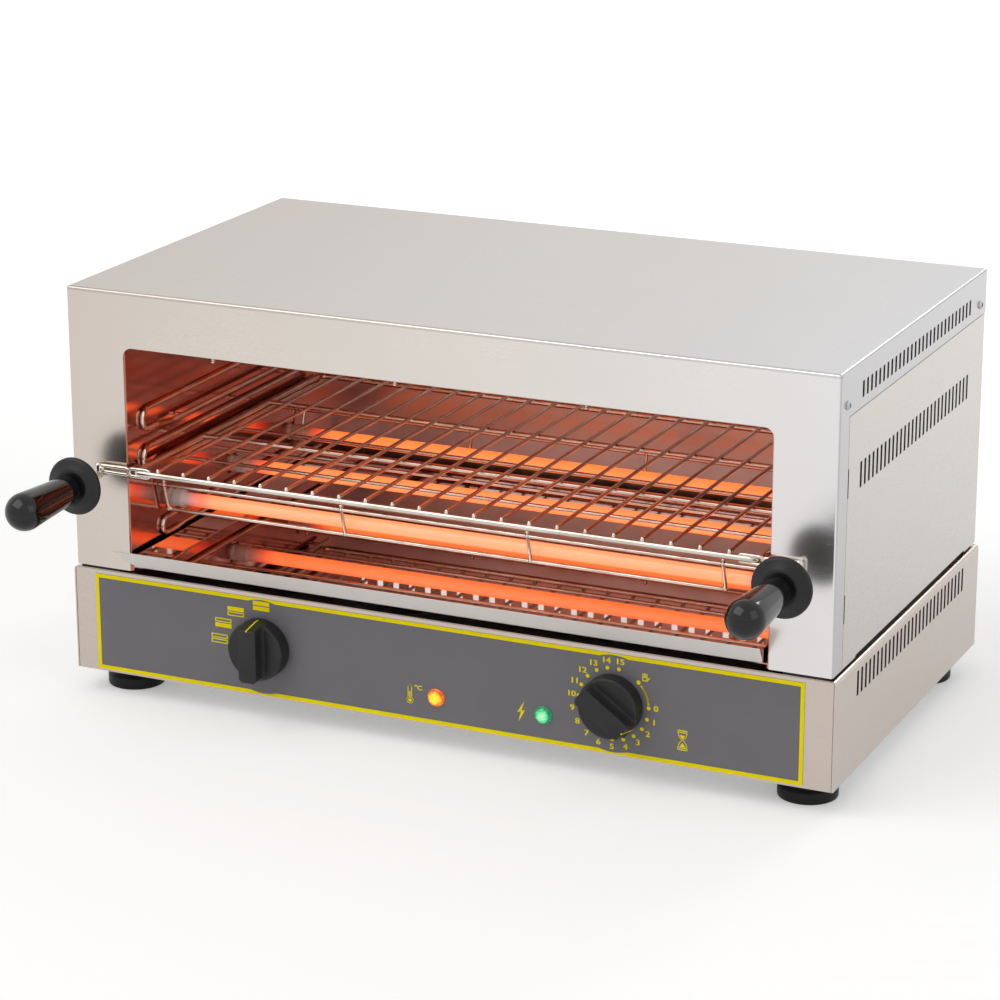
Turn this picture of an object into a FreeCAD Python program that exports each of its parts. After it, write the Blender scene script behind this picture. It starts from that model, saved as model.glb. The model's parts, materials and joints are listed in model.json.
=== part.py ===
"""Open-front salamander grill: a pull-out wire rack between two rows of quartz tubes, on a control base.

Every sub-part is modelled with y = 0 on the front face of the body and z = 0 on the worktop. Its Placement
then moves it back to the frame: the origin lies on the worktop, in the middle of the whole appliance.
"""
import FreeCAD, Part
import Sketcher
import math
import os

V = FreeCAD.Vector
X_AXIS, Y_AXIS, Z_AXIS = V(1, 0, 0), V(0, 1, 0), V(0, 0, 1)

# Flats drawn round wires, round stouter bars and small bores, and round tubes.
WIRE_FLATS, BAR_FLATS, TUBE_FLATS = 6, 8, 12

SIZES = {
    # casing, base and feet
    "body_width": 634,
    "body_depth": 350,
    "body_height": 227,
    "body_gap": 2.5,
    "base_overhang": 3,
    "base_height": 85.5,
    "foot_height": 20,
    "skin": 1.2,
    "seam": 0.5,
    "bend_radius": 2,
    "return_flange": 10,
    # front opening and the cover's flanges
    "stile_width": 49,
    "fascia_height": 44.5,
    "opening_radius": 8,
    "flange_front": 20.5,
    "flange_top": 35.5,
    "panel_lift": 1.7,
    "panel_foot": 29,
    "hook_height": 22,
    "hook_depth": 1.6,
    "hook_rise_low": 35,
    "hook_rise_high": 130,
    # rows of vent slots in the sides
    "slot_count": 29,
    "slot_pitch": 9.2,
    "slot_width": 4.2,
    "slot_start": 49.6,
    "cover_slot_height": 12.2,
    "cover_slot_drop": 28.3,
    "panel_slot_height": 19.7,
    "panel_slot_drop": 96.2,
    "base_slot_height": 19.4,
    "base_slot_drop": 26.6,
    # square vents at the back
    "vent_count": 31,
    "vent_pitch": 15.5,
    "vent_width": 5.6,
    "vent_height": 7.6,
    "vent_drop": 110,
    # cooking cavity
    "cavity_side_space": 50,
    "cavity_rear_space": 15,
    "cavity_roof_space": 30,
    "liner": 1,
    "liner_flange": 12,
    # quartz tubes, their coils and ceramic caps
    "tube_radius": 5.5,
    "tube_bore": 4.4,
    "tube_end_gap": 9,
    "tube_first": 63,
    "tube_pitch": 102,
    "tube_low": 44,
    "tube_drop": 12.5,
    "coil_radius": 3.2,
    "coil_end_gap": 32,
    "cap_radius": 7,
    "cap_length": 30,
    "cap_inside": 14,
    "cap_clearance": 0.1,
    "cap_hole_clearance": 0.5,
    # wire guards round the tubes
    "guard_wire": 1.5,
    "guard_forward": 16.5,
    "guard_above": 13.5,
    "basket_forward": 11,
    "basket_below": 6.5,
    "basket_end_gap": 5,
    "basket_pitch": 158.7,
    "post_wire": 1.3,
    "post_tip": 3,
    "guard_rod_front": 36.7,
    "guard_rod_rear": 47,
    # runners that carry the rack
    "runner_wire": 2,
    "runner_tie": 1.5,
    "runner_turn": 0.3,
    "runner_front": 21,
    "runner_end_gap": 13,
    "runner_gap": 16.8,
    "runner_straight": 22,
    "runner_jog": 16,
    "level_pitch": 31.5,
    "keeper_front": 47,
    "keeper_gap": 13,
    "keeper_rise": 3,
    # wire rack
    "rack_side_gap": 4.5,
    "rack_rear_gap": 24,
    "rack_level": 83.5,
    "rack_front": 4,
    "rail_radius": 2.5,
    "rail_bend": 5,
    "rod_radius": 1.5,
    "rod_count": 22,
    "rod_overhang": 1.5,
    "brace_radius": 2,
    "brace_first": 105,
    "brace_pitch": 110,
    "slide_clearance": 0.3,
    # rack handles
    "handle_inset": 26,
    "handle_drop": 4.8,
    "link_radius": 1.6,
    "link_gap": 2.4,
    "link_weld": 11,
    "post_radius": 3.2,
    "post_above": 4.5,
    "post_below": 8.5,
    "spindle_radius": 3,
    "shield_radius": 23,
    "shield_front": 46,
    "shield_thickness": 8,
    "shield_rim": 3,
    "neck_collar": 2,
    "grip_neck": 12,
    "grip_radius": 15,
    "grip_flat": 1.5,
    "grip_socket": 30,
    # crumb tray
    "tray_side_gap": 4,
    "tray_rear_gap": 13,
    "tray_wall": 1,
    "tray_level": 4,
    "tray_side": 10,
    "lip_reach": 24,
    "lip_rise": 19.5,
    "lip_slant": 1.4,
    "lip_flare": 6,
    "tray_rail": 9,
    # control panel
    "label_side_margin": 21.5,
    "label_height": 80,
    "label_shift": -2,
    "label_rise": 1.9,
    "label_thickness": 0.4,
    "dial_spread": 297,
    "dial_rise": 42,
    "lamp_rise": 23.8,
    "amber_place": 0,
    "green_place": 89.5,
    # knobs, switch and timer
    "knob_radius": 24,
    "knob_slope": 4,
    "skirt_depth": 13,
    "knob_depth": 25,
    "blade_width": 13,
    "blade_length": 46,
    "blade_edge": 1.5,
    "knob_clearance": 0.6,
    "shaft_radius": 3,
    "shaft_clearance": 0.05,
    "shaft_reach": 18,
    "shaft_grip": 14,
    "bush_radius": 5,
    "hole_clearance": 0.3,
    "switch_width": 44,
    "switch_depth": 38,
    "timer_width": 52,
    "timer_depth": 32,
    "timer_rest": 125.4,
    # indicator lamps
    "lens_radius": 6.6,
    "lens_rise": 4,
    "lens_flats": 16,
    "lamp_radius": 4.8,
    "lamp_length": 24,
    # parts in the base
    "block_width": 70,
    "block_depth": 22,
    "block_height": 18,
    "block_inset": 110,
    "block_rear_space": 88,
    "block_ways": 5,
    "gland_inset": 65,
    "gland_rise": 40,
    "gland_radius": 11,
    "gland_bore": 4.5,
    "gland_reach": 14,
    "gland_inside": 6,
    "gland_neck": 8,
    "gland_nut": 7.7,
    "thermostat_radius": 12,
    "thermostat_height": 9,
    "thermostat_place": 40,
    "cable_radius": 3,
    "lead_radius": 2.4,
    "lead_spacing": 40,
    # feet and screws
    "foot_radius": 23,
    "foot_inset_side": 32,
    "foot_inset_front": 37,
    "foot_waist": 19,
    "foot_flats": 20,
    "foot_stud": 3,
    "stud_nut": 5.4,
    "screw_radius": 3.5,
    "screw_head": 2,
    "screw_shank": 1.8,
    "screw_length": 6,
    "screw_clearance": 0.3,
    "cover_screw_inset": 16,
    "cover_screw_rise": 9.5,
    "rear_screw_inset": 12,
    "rear_screw_side": 30,
    "handle_reach": 127,
    "turned_flats": 24,
}


class Size:
    """A number with the spreadsheet expression that gives it, so that one size serves both."""

    def __init__(self, text, value):
        self.text = text
        self.value = float(value)

    @staticmethod
    def of(number):
        return number if isinstance(number, Size) else Size(repr(float(number)), number)

    def join(self, sign, first, second, value):
        return Size("(%s %s %s)" % (first.text, sign, second.text), value)

    def __add__(self, other):
        other = Size.of(other)
        return self.join("+", self, other, self.value + other.value)

    def __sub__(self, other):
        other = Size.of(other)
        return self.join("-", self, other, self.value - other.value)

    def __rsub__(self, other):
        return Size.of(other) - self

    def __mul__(self, other):
        other = Size.of(other)
        return self.join("*", self, other, self.value * other.value)

    def __truediv__(self, other):
        other = Size.of(other)
        return self.join("/", self, other, self.value / other.value)

    def __neg__(self):
        return self * -1

    __radd__ = __add__
    __rmul__ = __mul__


class Sheet:
    """The spreadsheet of driving dimensions. S.name is a Size bound to the cell with that alias."""

    def __init__(self, document, numbers):
        self.cells = document.addObject("Spreadsheet::Sheet", "Sizes")
        for row, (name, number) in enumerate(numbers.items(), 1):
            self.cells.set("A%d" % row, name)
            self.cells.set("B%d" % row, str(number))
            self.cells.setAlias("B%d" % row, name)
            setattr(self, name, Size("Sizes." + name, number))


doc = FreeCAD.newDocument("salamander_grill")
S = Sheet(doc, SIZES)
doc.recompute()
PARTS = []

# Levels above the worktop, and the places that several sub-parts share.
base_low = S.foot_height
base_top = base_low + S.base_height
body_low = base_top + S.body_gap
body_top = body_low + S.body_height
front_y = (S.handle_reach - S.body_depth - S.gland_reach) / 2
half_body = S.body_width / 2
half_base = half_body + S.base_overhang
half_cavity = half_body - S.cavity_side_space
half_opening = half_body - S.stile_width
cavity_back = S.body_depth - S.cavity_rear_space
cavity_height = S.body_height - S.cavity_roof_space
panel_top = body_top - S.flange_top - S.seam
panel_front = S.flange_front + S.seam
cavity_top = body_low + cavity_height
vent_level = body_top - S.vent_drop
rack_z = body_low + S.rack_level
rod_z = rack_z + S.rail_radius + S.rod_radius
handle_z = rack_z - S.handle_drop
tray_z = body_low + S.tray_level
tube_ys = [S.tube_first + S.tube_pitch * k for k in range(3)]
tube_rises = {"lower": S.tube_low, "upper": cavity_height - S.tube_drop}
row_levels = {row_name: body_low + rise for row_name, rise in tube_rises.items()}
half_tube = half_cavity - S.tube_end_gap
half_rack = half_cavity - S.rack_side_gap
half_tray = half_cavity - S.tray_side_gap
handle_x = half_body - S.handle_inset
dial_z = base_low + S.dial_rise
lamp_z = base_low + S.lamp_rise
selector_x = S.label_shift - S.dial_spread / 2
timer_x = S.label_shift + S.dial_spread / 2


def bind(item, name, size):
    """Sets a property from a Size, as an expression, or from a plain number."""
    if isinstance(size, Size):
        item.setExpression(name, size.text)
    else:
        setattr(item, name, size)


def place(item, x=0, y=0, z=0):
    """Gives a finished sub-part its place in the frame and puts it on the list to export."""
    for axis, size in zip("xyz", (Size.of(x), front_y + y, Size.of(z))):
        item.setExpression("Placement.Base." + axis, size.text)
    PARTS.append(item)
    return item


def new_body(name):
    body = doc.addObject("PartDesign::Body", name)
    body.Label = name
    return body


def new_sketch(body, name, role, level=0):
    """A sketch on one of the body's own origin planes, moved along the plane's normal by level."""
    sketch = body.newObject("Sketcher::SketchObject", name)
    planes = [f for f in body.Origin.OriginFeatures if f.Role == role]
    sketch.AttachmentSupport = (planes[0], [""])
    sketch.MapMode = "FlatFace"
    sketch.setExpression("AttachmentOffset.Base.z", Size.of(level).text)
    return sketch


def outline(sketch, points):
    """A closed outline of straight lines through points, each held by its two distances from the origin."""
    corners = [(Size.of(a), Size.of(b)) for a, b in points]
    first = sketch.GeometryCount
    count = len(corners)
    for k, (a, b) in enumerate(corners):
        c, d = corners[(k + 1) % count]
        sketch.addGeometry(Part.LineSegment(V(a.value, b.value, 0), V(c.value, d.value, 0)))
    for k in range(count):
        sketch.addConstraint(
            Sketcher.Constraint("Coincident", first + k, 2, first + (k + 1) % count, 1)
        )
    for k, corner in enumerate(corners):
        for axis, size in zip("XY", corner):
            n = sketch.addConstraint(
                Sketcher.Constraint("Distance" + axis, -1, 1, first + k, 1, size.value)
            )
            sketch.setExpression("Constraints[%d]" % n, size.text)


def rectangle(sketch, low, high):
    outline(sketch, [low, (high[0], low[1]), high, (low[0], high[1])])


def octagon(sketch, x, y, reach):
    """A small hole with eight flats, reach away from its centre."""
    half_flat = reach * math.tan(math.pi / 8)
    ways = [(-reach, half_flat), (-half_flat, reach), (half_flat, reach), (reach, half_flat)]
    ways += [(-across, -up) for across, up in ways]
    outline(sketch, [(x + across, y + up) for across, up in ways])


def circle(sketch, x, y, radius):
    x, y, radius = Size.of(x), Size.of(y), Size.of(radius)
    g = sketch.addGeometry(Part.Circle(V(x.value, y.value, 0), Z_AXIS, radius.value))
    for kind, data, size in (
        ("DistanceX", (-1, 1, g, 3), x),
        ("DistanceY", (-1, 1, g, 3), y),
        ("Radius", (g,), radius),
    ):
        n = sketch.addConstraint(Sketcher.Constraint(kind, *data, size.value))
        sketch.setExpression("Constraints[%d]" % n, size.text)


def pad(body, sketch, length, backwards=False):
    feature = body.newObject("PartDesign::Pad", sketch.Name + "_pad")
    feature.Profile = sketch
    bind(feature, "Length", length)
    feature.Reversed = backwards
    return feature


def pocket(body, sketch, length=None, backwards=False, both_ways=False):
    """A pocket of a given depth, or through everything. It cuts against the sketch's normal."""
    feature = body.newObject("PartDesign::Pocket", sketch.Name + "_pocket")
    feature.Profile = sketch
    if length is None:
        feature.Type = "ThroughAll"
    else:
        bind(feature, "Length", length)
    feature.Reversed = backwards
    feature.Midplane = both_ways
    return feature


def row(body, feature, sketch, axis, pitch, count):
    """Repeats a feature along one axis of its sketch."""
    pattern = body.newObject("PartDesign::LinearPattern", feature.Name + "_row")
    pattern.Originals = [feature]
    pattern.Direction = (sketch, [axis])
    bind(pattern, "Length", pitch * (count - 1))
    bind(pattern, "Occurrences", count)
    body.Tip = pattern
    return pattern


def dress(body, feature, kind, wanted, dimension, size):
    """Rounds or bevels the edges of a feature that wanted picks."""
    doc.recompute()
    names = [
        "Edge%d" % n for n, edge in enumerate(feature.Shape.Edges, 1) if wanted(edge)
    ]
    dressed = body.newObject("PartDesign::" + kind, feature.Name + "_" + kind.lower())
    dressed.Base = (feature, names)
    bind(dressed, dimension, size)
    body.Tip = dressed
    return dressed


def fillet(body, feature, wanted, radius):
    return dress(body, feature, "Fillet", wanted, "Radius", radius)


def chamfer(body, feature, wanted, size):
    return dress(body, feature, "Chamfer", wanted, "Size", size)


def side_slots(body, drop, height, side_top):
    """One row of upright vent slots through a side wall."""
    slot = new_sketch(body, body.Name + "_slot", "YZ_Plane")
    middle = side_top - drop
    rectangle(
        slot,
        (S.slot_start - S.slot_width / 2, middle),
        (S.slot_start + S.slot_width / 2, middle + height),
    )
    cut = pocket(body, slot, both_ways=True)
    row(body, cut, slot, "H_Axis", S.slot_pitch, S.slot_count)


def back_vents(body):
    """The row of square vents high in the cavity's back wall and in the rear panel behind it."""
    vent = new_sketch(body, body.Name + "_vent", "XZ_Plane")
    start = S.vent_pitch * (S.vent_count - 1) / -2
    rectangle(
        vent,
        (start - S.vent_width / 2, vent_level - S.vent_height / 2),
        (start + S.vent_width / 2, vent_level + S.vent_height / 2),
    )
    cut = pocket(body, vent, both_ways=True)
    row(body, cut, vent, "H_Axis", S.vent_pitch, S.vent_count)


def new_box(name, low, high):
    """A plain block between two corners."""
    box = doc.addObject("Part::Box", name)
    box.Label = name
    for side, a, b in zip(("Length", "Width", "Height"), low, high):
        bind(box, side, Size.of(b) - a)
    return place(box, *low)


def shaped(name, shape):
    """A sub-part whose shape is worked out here, from the same sizes."""
    item = doc.addObject("Part::Feature", name)
    item.Label = name
    item.Shape = shape
    return place(item)


def section(centre, heading, radius, sides, flat_top):
    """The outline of a thin bar: its flats lie radius from the centre, one on top or at each side."""
    across = heading.cross(X_AXIS if abs(heading.z) > 0.9 else Z_AXIS).normalize()
    up = across.cross(heading).normalize()
    if flat_top:
        across, up = up, across * -1
    reach = radius / math.cos(math.pi / sides)
    corners = []
    for k in range(sides + 1):
        angle = math.pi * (2 * k + 1) / sides
        corners.append(centre + across * (reach * math.cos(angle)) + up * (reach * math.sin(angle)))
    return Part.makePolygon(corners)


def rod(start, end, radius, sides=WIRE_FLATS, flat_top=True):
    """A straight bar between two points, drawn with a few flats round it."""
    run = end - start
    return Part.Face(section(start, run / run.Length, radius, sides, flat_top)).extrude(run)


def bent_wire(points, radius, bend=0, closed=False, sides=WIRE_FLATS, flat_top=True):
    """A wire along straight runs, with arcs at its corners where a bend radius is given, or mitres."""
    corners = list(points)
    if closed:
        start = (corners[0] + corners[-1]) / 2
        corners = [start] + corners + [start]
    edges = []
    here = corners[0]
    for before, corner, after in zip(corners, corners[1:], corners[2:]):
        into = (corner - before).normalize()
        out = (after - corner).normalize()
        turn = into.getAngle(out)
        setback = bend * math.tan(turn / 2)
        first, last = corner - into * setback, corner + out * setback
        if (first - here).Length > 1e-3:
            edges.append(Part.LineSegment(here, first).toShape())
        if bend:
            crown = (out - into).normalize() * (bend / math.cos(turn / 2) - bend)
            edges.append(Part.Arc(first, corner + crown, last).toShape())
        here = last
    edges.append(Part.LineSegment(here, corners[-1]).toShape())
    heading = (corners[1] - corners[0]).normalize()
    ring = section(corners[0], heading, radius, sides, flat_top)
    return Part.Wire(edges).makePipeShell([ring], True, False, 0 if bend else 1)


def clipped(corners, cut):
    """A closed outline with each corner cut off, cut away from it along both its runs."""
    points = []
    for k, corner in enumerate(corners):
        for other in (corners[k - 1], corners[(k + 1) % len(corners)]):
            points.append(corner + (other - corner).normalize() * cut)
    return points


def faceted(profile, centre, heading, sides):
    """A turned form drawn with flats, through rings given as (radius, distance along heading)."""
    rings = [section(centre + heading * along, heading, radius, sides, True) for radius, along in profile]
    faces = [Part.Face(rings[0]), Part.Face(rings[-1])]
    for near, far in zip(rings, rings[1:]):
        for low, high in zip(near.Edges, far.Edges):
            a, b = (v.Point for v in low.Vertexes)
            d, c = (v.Point for v in high.Vertexes)
            faces.append(Part.Face(Part.makePolygon([a, b, c, d, a])))
    shell = Part.Shell(faces)
    shell.sewShape()
    return Part.Solid(shell)


def fused(shapes):
    return shapes[0].multiFuse(shapes[1:]).removeSplitter()


def copies(shape, places):
    return Part.makeCompound([shape.translated(V(*p)) for p in places])


def cover_screw_places():
    """The two screws in each side flange of the cover, as (y, z)."""
    z = body_top - S.flange_top + S.cover_screw_rise
    return [(S.cover_screw_inset, z), (S.body_depth - S.cover_screw_inset, z)]


def rear_screw_places():
    """The four screws in the rear panel, as (x, z)."""
    levels = (body_low + S.rear_screw_inset, body_top - S.rear_screw_inset)
    return [((half_body - S.rear_screw_side) * side, z) for side in (-1, 1) for z in levels]


def make_cover():
    """Top, front frame and side flanges in one folded sheet, with the opening's rounded upper corners."""
    body = new_body("cover")
    block = new_sketch(body, "cover_block", "XZ_Plane")
    rectangle(block, (-half_body, body_low), (half_body, body_top))
    solid = pad(body, block, S.body_depth, backwards=True)
    fillet(
        body,
        solid,
        lambda e: e.BoundBox.YMax < 1 and e.BoundBox.ZLength > 1
        or e.BoundBox.ZMin > body_top.value - 1 and (e.BoundBox.YLength > 1 or e.BoundBox.YMax < 1),
        S.bend_radius,
    )
    hollow = new_sketch(body, "cover_hollow", "XZ_Plane", -S.skin)
    inner = half_body - S.skin
    rectangle(hollow, (-inner, body_low), (inner, body_top - S.skin))
    pocket(body, hollow)
    sides = new_sketch(body, "cover_sides", "YZ_Plane")
    rectangle(sides, (S.flange_front, body_low), (S.body_depth, body_top - S.flange_top))
    pocket(body, sides, both_ways=True)
    opening = new_sketch(body, "cover_opening", "XZ_Plane")
    opening_top = body_top - S.fascia_height
    rectangle(opening, (-half_opening, body_low), (half_opening, opening_top))
    cut = pocket(body, opening)
    fillet(
        body,
        cut,
        lambda e: e.BoundBox.YLength > 1e-3
        and e.BoundBox.YMax < S.skin.value + 1e-3
        and abs(e.BoundBox.ZMin - opening_top.value) < 1e-3
        and e.BoundBox.ZLength < 1e-3
        and e.BoundBox.XLength < 1e-3,
        S.opening_radius,
    )
    side_slots(body, S.cover_slot_drop, S.cover_slot_height, body_top)
    holes = new_sketch(body, "cover_screw_holes", "YZ_Plane")
    for y, z in cover_screw_places():
        octagon(holes, y, z, S.screw_shank + S.screw_clearance)
    pocket(body, holes, both_ways=True)
    place(body)


def make_side_panel(name, side):
    """A side panel: a flat sheet with a folded rim, two hook notches in front and a raised lower edge."""
    body = new_body(name)
    level = half_body * side
    inward = side > 0
    sheet = new_sketch(body, name + "_sheet", "YZ_Plane", level)
    lifted = body_low + S.panel_lift
    back = S.body_depth - S.skin - S.seam
    notched = panel_front + S.hook_depth
    points = [(panel_front, body_low)]
    points += [(panel_front + S.panel_foot, body_low), (panel_front + S.panel_foot + S.panel_lift, lifted)]
    points += [(back - S.panel_foot - S.panel_lift, lifted), (back - S.panel_foot, body_low)]
    points += [(back, body_low), (back, panel_top), (panel_front, panel_top)]
    for rise in (S.hook_rise_high, S.hook_rise_low):
        low = body_low + rise
        high = low + S.hook_height
        points += [(panel_front, high), (notched, high), (notched, low), (panel_front, low)]
    outline(sheet, points)
    pad(body, sheet, S.skin, backwards=inward)
    rim = new_sketch(body, name + "_rim", "YZ_Plane", level - S.skin * side)
    rectangle(rim, (notched, lifted), (back, panel_top))
    rectangle(rim, (notched + S.skin, lifted + S.skin), (back - S.skin, panel_top - S.skin))
    pad(body, rim, S.return_flange, backwards=inward)
    side_slots(body, S.panel_slot_drop, S.panel_slot_height, body_top)
    place(body)


def make_rear_panel():
    body = new_body("rear_panel")
    sheet = new_sketch(body, "rear_sheet", "XZ_Plane", -S.body_depth)
    edge = half_body - S.skin - S.seam
    rectangle(sheet, (-edge, body_low), (edge, body_top - S.skin - S.seam))
    pad(body, sheet, S.skin)
    back_vents(body)
    holes = new_sketch(body, "rear_screw_holes", "XZ_Plane")
    for x, z in rear_screw_places():
        octagon(holes, x, z, S.screw_shank + S.screw_clearance)
    pocket(body, holes, both_ways=True)
    place(body)


def make_base_casing():
    """The base: top, both sides and back in one folded sheet. Its sides lap the edges of the front panel."""
    body = new_body("base_casing")
    block = new_sketch(body, "base_block", "XZ_Plane")
    rectangle(block, (-half_base, base_low), (half_base, base_top))
    solid = pad(body, block, S.body_depth, backwards=True)
    fillet(
        body,
        solid,
        lambda e: e.BoundBox.YLength > 1 and e.BoundBox.ZMin > base_top.value - 1,
        S.bend_radius + S.skin,
    )
    hollow = new_sketch(body, "base_hollow", "XZ_Plane", -S.skin * 2)
    inner = half_base - S.skin
    rectangle(hollow, (-inner, base_low), (inner, base_top - S.skin))
    pocket(body, hollow, S.body_depth - S.skin * 3)
    seat = new_sketch(body, "base_seat", "XZ_Plane")
    rectangle(seat, (-inner, base_low), (inner, base_top))
    pocket(body, seat, S.skin)
    front = new_sketch(body, "base_window", "XZ_Plane", -S.skin)
    edge = half_base - S.return_flange
    rectangle(front, (-edge, base_low), (edge, base_top - S.return_flange))
    pocket(body, front, S.skin)
    gland = new_sketch(body, "base_gland", "XZ_Plane", -(S.body_depth - S.skin))
    octagon(gland, half_base - S.gland_inset, base_low + S.gland_rise, S.gland_neck + S.hole_clearance)
    pocket(body, gland)
    side_slots(body, S.base_slot_drop, S.base_slot_height, base_top)
    place(body)


def control_holes(body):
    """The holes for the switch, the timer and the two lamps."""
    holes = new_sketch(body, body.Name + "_holes", "XZ_Plane")
    for x in (selector_x, timer_x):
        octagon(holes, x, dial_z, S.bush_radius + S.hole_clearance)
    for x in (S.amber_place, S.green_place):
        octagon(holes, x, lamp_z, S.lamp_radius + S.hole_clearance)
    pocket(body, holes, both_ways=True)


def make_base_front():
    """The front of the base, with a folded lower flange that the bottom plate closes on."""
    body = new_body("base_front")
    sheet = new_sketch(body, "front_sheet", "XZ_Plane")
    edge = half_base - S.skin - S.seam
    rectangle(sheet, (-edge, base_low), (edge, base_top - S.seam))
    pad(body, sheet, S.skin, backwards=True)
    flange = new_sketch(body, "front_flange", "YZ_Plane")
    rectangle(flange, (S.skin / 2, base_low), (S.skin + S.return_flange, base_low + S.skin))
    fold = pad(body, flange, (half_base - S.return_flange - S.seam) * 2)
    fold.Midplane = True
    control_holes(body)
    place(body)


def make_base_bottom():
    """The bottom plate inside the casing, on the front flange's level, with holes for the feet."""
    body = new_body("base_bottom")
    sheet = new_sketch(body, "bottom_sheet", "XY_Plane")
    edge = half_base - S.skin - S.seam
    front = S.skin + S.return_flange + S.seam
    rectangle(sheet, (-edge, front), (edge, S.body_depth - S.skin - S.seam))
    for x, y in foot_places():
        octagon(sheet, x, y, S.foot_stud + S.hole_clearance)
    pad(body, sheet, S.skin)
    place(body, z=base_low)


def make_control_label():
    body = new_body("control_label")
    film = new_sketch(body, "label_film", "XZ_Plane")
    low = base_low + S.label_rise
    half = half_base - S.label_side_margin
    rectangle(film, (S.label_shift - half, low), (S.label_shift + half, low + S.label_height))
    pad(body, film, S.label_thickness)
    control_holes(body)
    place(body)


def make_spacer(name, side):
    """A strip between the base and the body that keeps the vent gap open."""
    inner, outer = half_cavity + S.liner_flange, half_body - S.skin * 3
    low, high = (inner, outer) if side > 0 else (-outer, -inner)
    new_box(name, (low, S.skin, base_top), (high, S.body_depth - S.skin * 2, body_low))


def make_liner_side(name, side):
    """A side wall of the cavity: one sheet with flanges turned out in front and behind, and tube holes."""
    body = new_body(name)
    plan = new_sketch(body, name + "_plan", "XY_Plane")
    inner, wall = half_cavity * side, (half_cavity + S.liner) * side
    edge = (half_cavity + S.liner_flange) * side
    front, back = S.skin, cavity_back
    outline(
        plan,
        [
            (inner, front),
            (edge, front),
            (edge, front + S.liner),
            (wall, front + S.liner),
            (wall, back - S.liner),
            (edge, back - S.liner),
            (edge, back),
            (inner, back),
        ],
    )
    pad(body, plan, cavity_height)
    holes = new_sketch(body, name + "_holes", "YZ_Plane")
    reach = S.cap_radius + S.cap_hole_clearance
    for level in tube_rises.values():
        for y in tube_ys:
            rectangle(holes, (y - reach, level - reach), (y + reach, level + reach))
    pocket(body, holes, both_ways=True)
    place(body, z=body_low)


def make_liner_back():
    body = new_body("liner_back")
    sheet = new_sketch(body, "back_sheet", "XZ_Plane", -cavity_back)
    edge = half_cavity + S.liner_flange
    rectangle(sheet, (-edge, body_low), (edge, cavity_top))
    pad(body, sheet, S.liner, backwards=True)
    back_vents(body)
    place(body)


def make_ceiling():
    """The reflector over the upper tubes, a shallow tray that rests on the cavity's walls."""
    body = new_body("cavity_ceiling")
    section = new_sketch(body, "ceiling_section", "XZ_Plane", -S.skin)
    edge = half_cavity + S.liner_flange
    inner = edge - S.liner
    low, high = cavity_top + S.liner, cavity_top + S.liner_flange
    points = [(-edge, cavity_top), (edge, cavity_top), (edge, high), (inner, high)]
    points += [(inner, low), (-inner, low), (-inner, high), (-edge, high)]
    outline(section, points)
    pad(body, section, cavity_back + S.liner - S.skin, backwards=True)
    place(body)


def make_tray_rail(name, side):
    """An angle along the foot of the cavity wall that the crumb tray slides on."""
    body = new_body(name)
    section = new_sketch(body, name + "_section", "XZ_Plane", -(S.skin + S.liner))
    top = tray_z - S.slide_clearance
    wall, inner = half_cavity * side, (half_cavity - S.liner) * side
    edge = (half_cavity - S.tray_rail) * side
    points = [(wall, body_low), (inner, body_low), (inner, top - S.liner)]
    points += [(edge, top - S.liner), (edge, top), (wall, top)]
    outline(section, points)
    pad(body, section, cavity_back - S.skin - S.liner * 2, backwards=True)
    place(body)


def runner_loop(side, low, gap, front, inner):
    """A loop whose upper strand lies on the wall. Its lower strand steps in to carry what slides on it."""
    radius = S.runner_wire.value
    wall = side * (half_cavity.value - radius)
    inner = side * inner
    back = cavity_back.value - S.runner_end_gap.value
    straight = front + S.runner_straight.value
    stepped = straight + S.runner_jog.value
    cut = gap * S.runner_turn.value
    head = [V(wall, back, low + gap), V(wall, front + cut, low + gap), V(wall, front, low + gap - cut)]
    head += [V(wall, front, low + cut), V(wall, front + cut, low), V(wall, straight + radius, low)]
    lean = side * (radius / math.cos(math.pi / 6) - radius)
    step = [V(wall - lean, straight - radius, low), V(wall - lean, straight, low)]
    step += [V(inner, stepped, low), V(inner, back, low)]
    loop = [bent_wire(head, radius, flat_top=False), bent_wire(step, radius)]
    for y in (stepped + S.runner_jog.value, back - S.runner_jog.value):
        loop.append(rod(V(inner, y, low), V(side * half_cavity.value, y, low), S.runner_tie.value))
    return fused(loop)


def make_runner(name, side):
    """Two levels of loops for the rack, and one low loop that keeps the crumb tray down."""
    radius = S.runner_wire.value
    low = rack_z.value - S.rail_radius.value - S.slide_clearance.value - radius
    rail = half_rack.value - S.rail_radius.value
    gap, front = S.runner_gap.value, S.runner_front.value
    loops = [runner_loop(side, low + S.level_pitch.value * k, gap, front, rail) for k in (0, 1)]
    keeper = tray_z.value + S.tray_side.value + S.keeper_rise.value
    tray_edge = half_tray.value - radius
    loops.append(runner_loop(side, keeper, S.keeper_gap.value, S.keeper_front.value, tray_edge))
    shaped(name, Part.makeCompound(loops))


def make_tube(name, y, z):
    """A quartz tube, open through its bore."""
    tube = doc.addObject("Part::Prism", name + "_outside")
    bore = doc.addObject("Part::Prism", name + "_bore")
    for item, radius in ((tube, S.tube_radius), (bore, S.tube_bore)):
        item.Polygon = TUBE_FLATS
        bind(item, "Circumradius", radius)
        bind(item, "Height", half_tube * 2)
        item.Placement.Rotation = FreeCAD.Rotation(Y_AXIS, 90)
    hollow = doc.addObject("Part::Cut", name)
    hollow.Label = name
    hollow.Base, hollow.Tool = tube, bore
    place(hollow, -half_tube, y, z)


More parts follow.
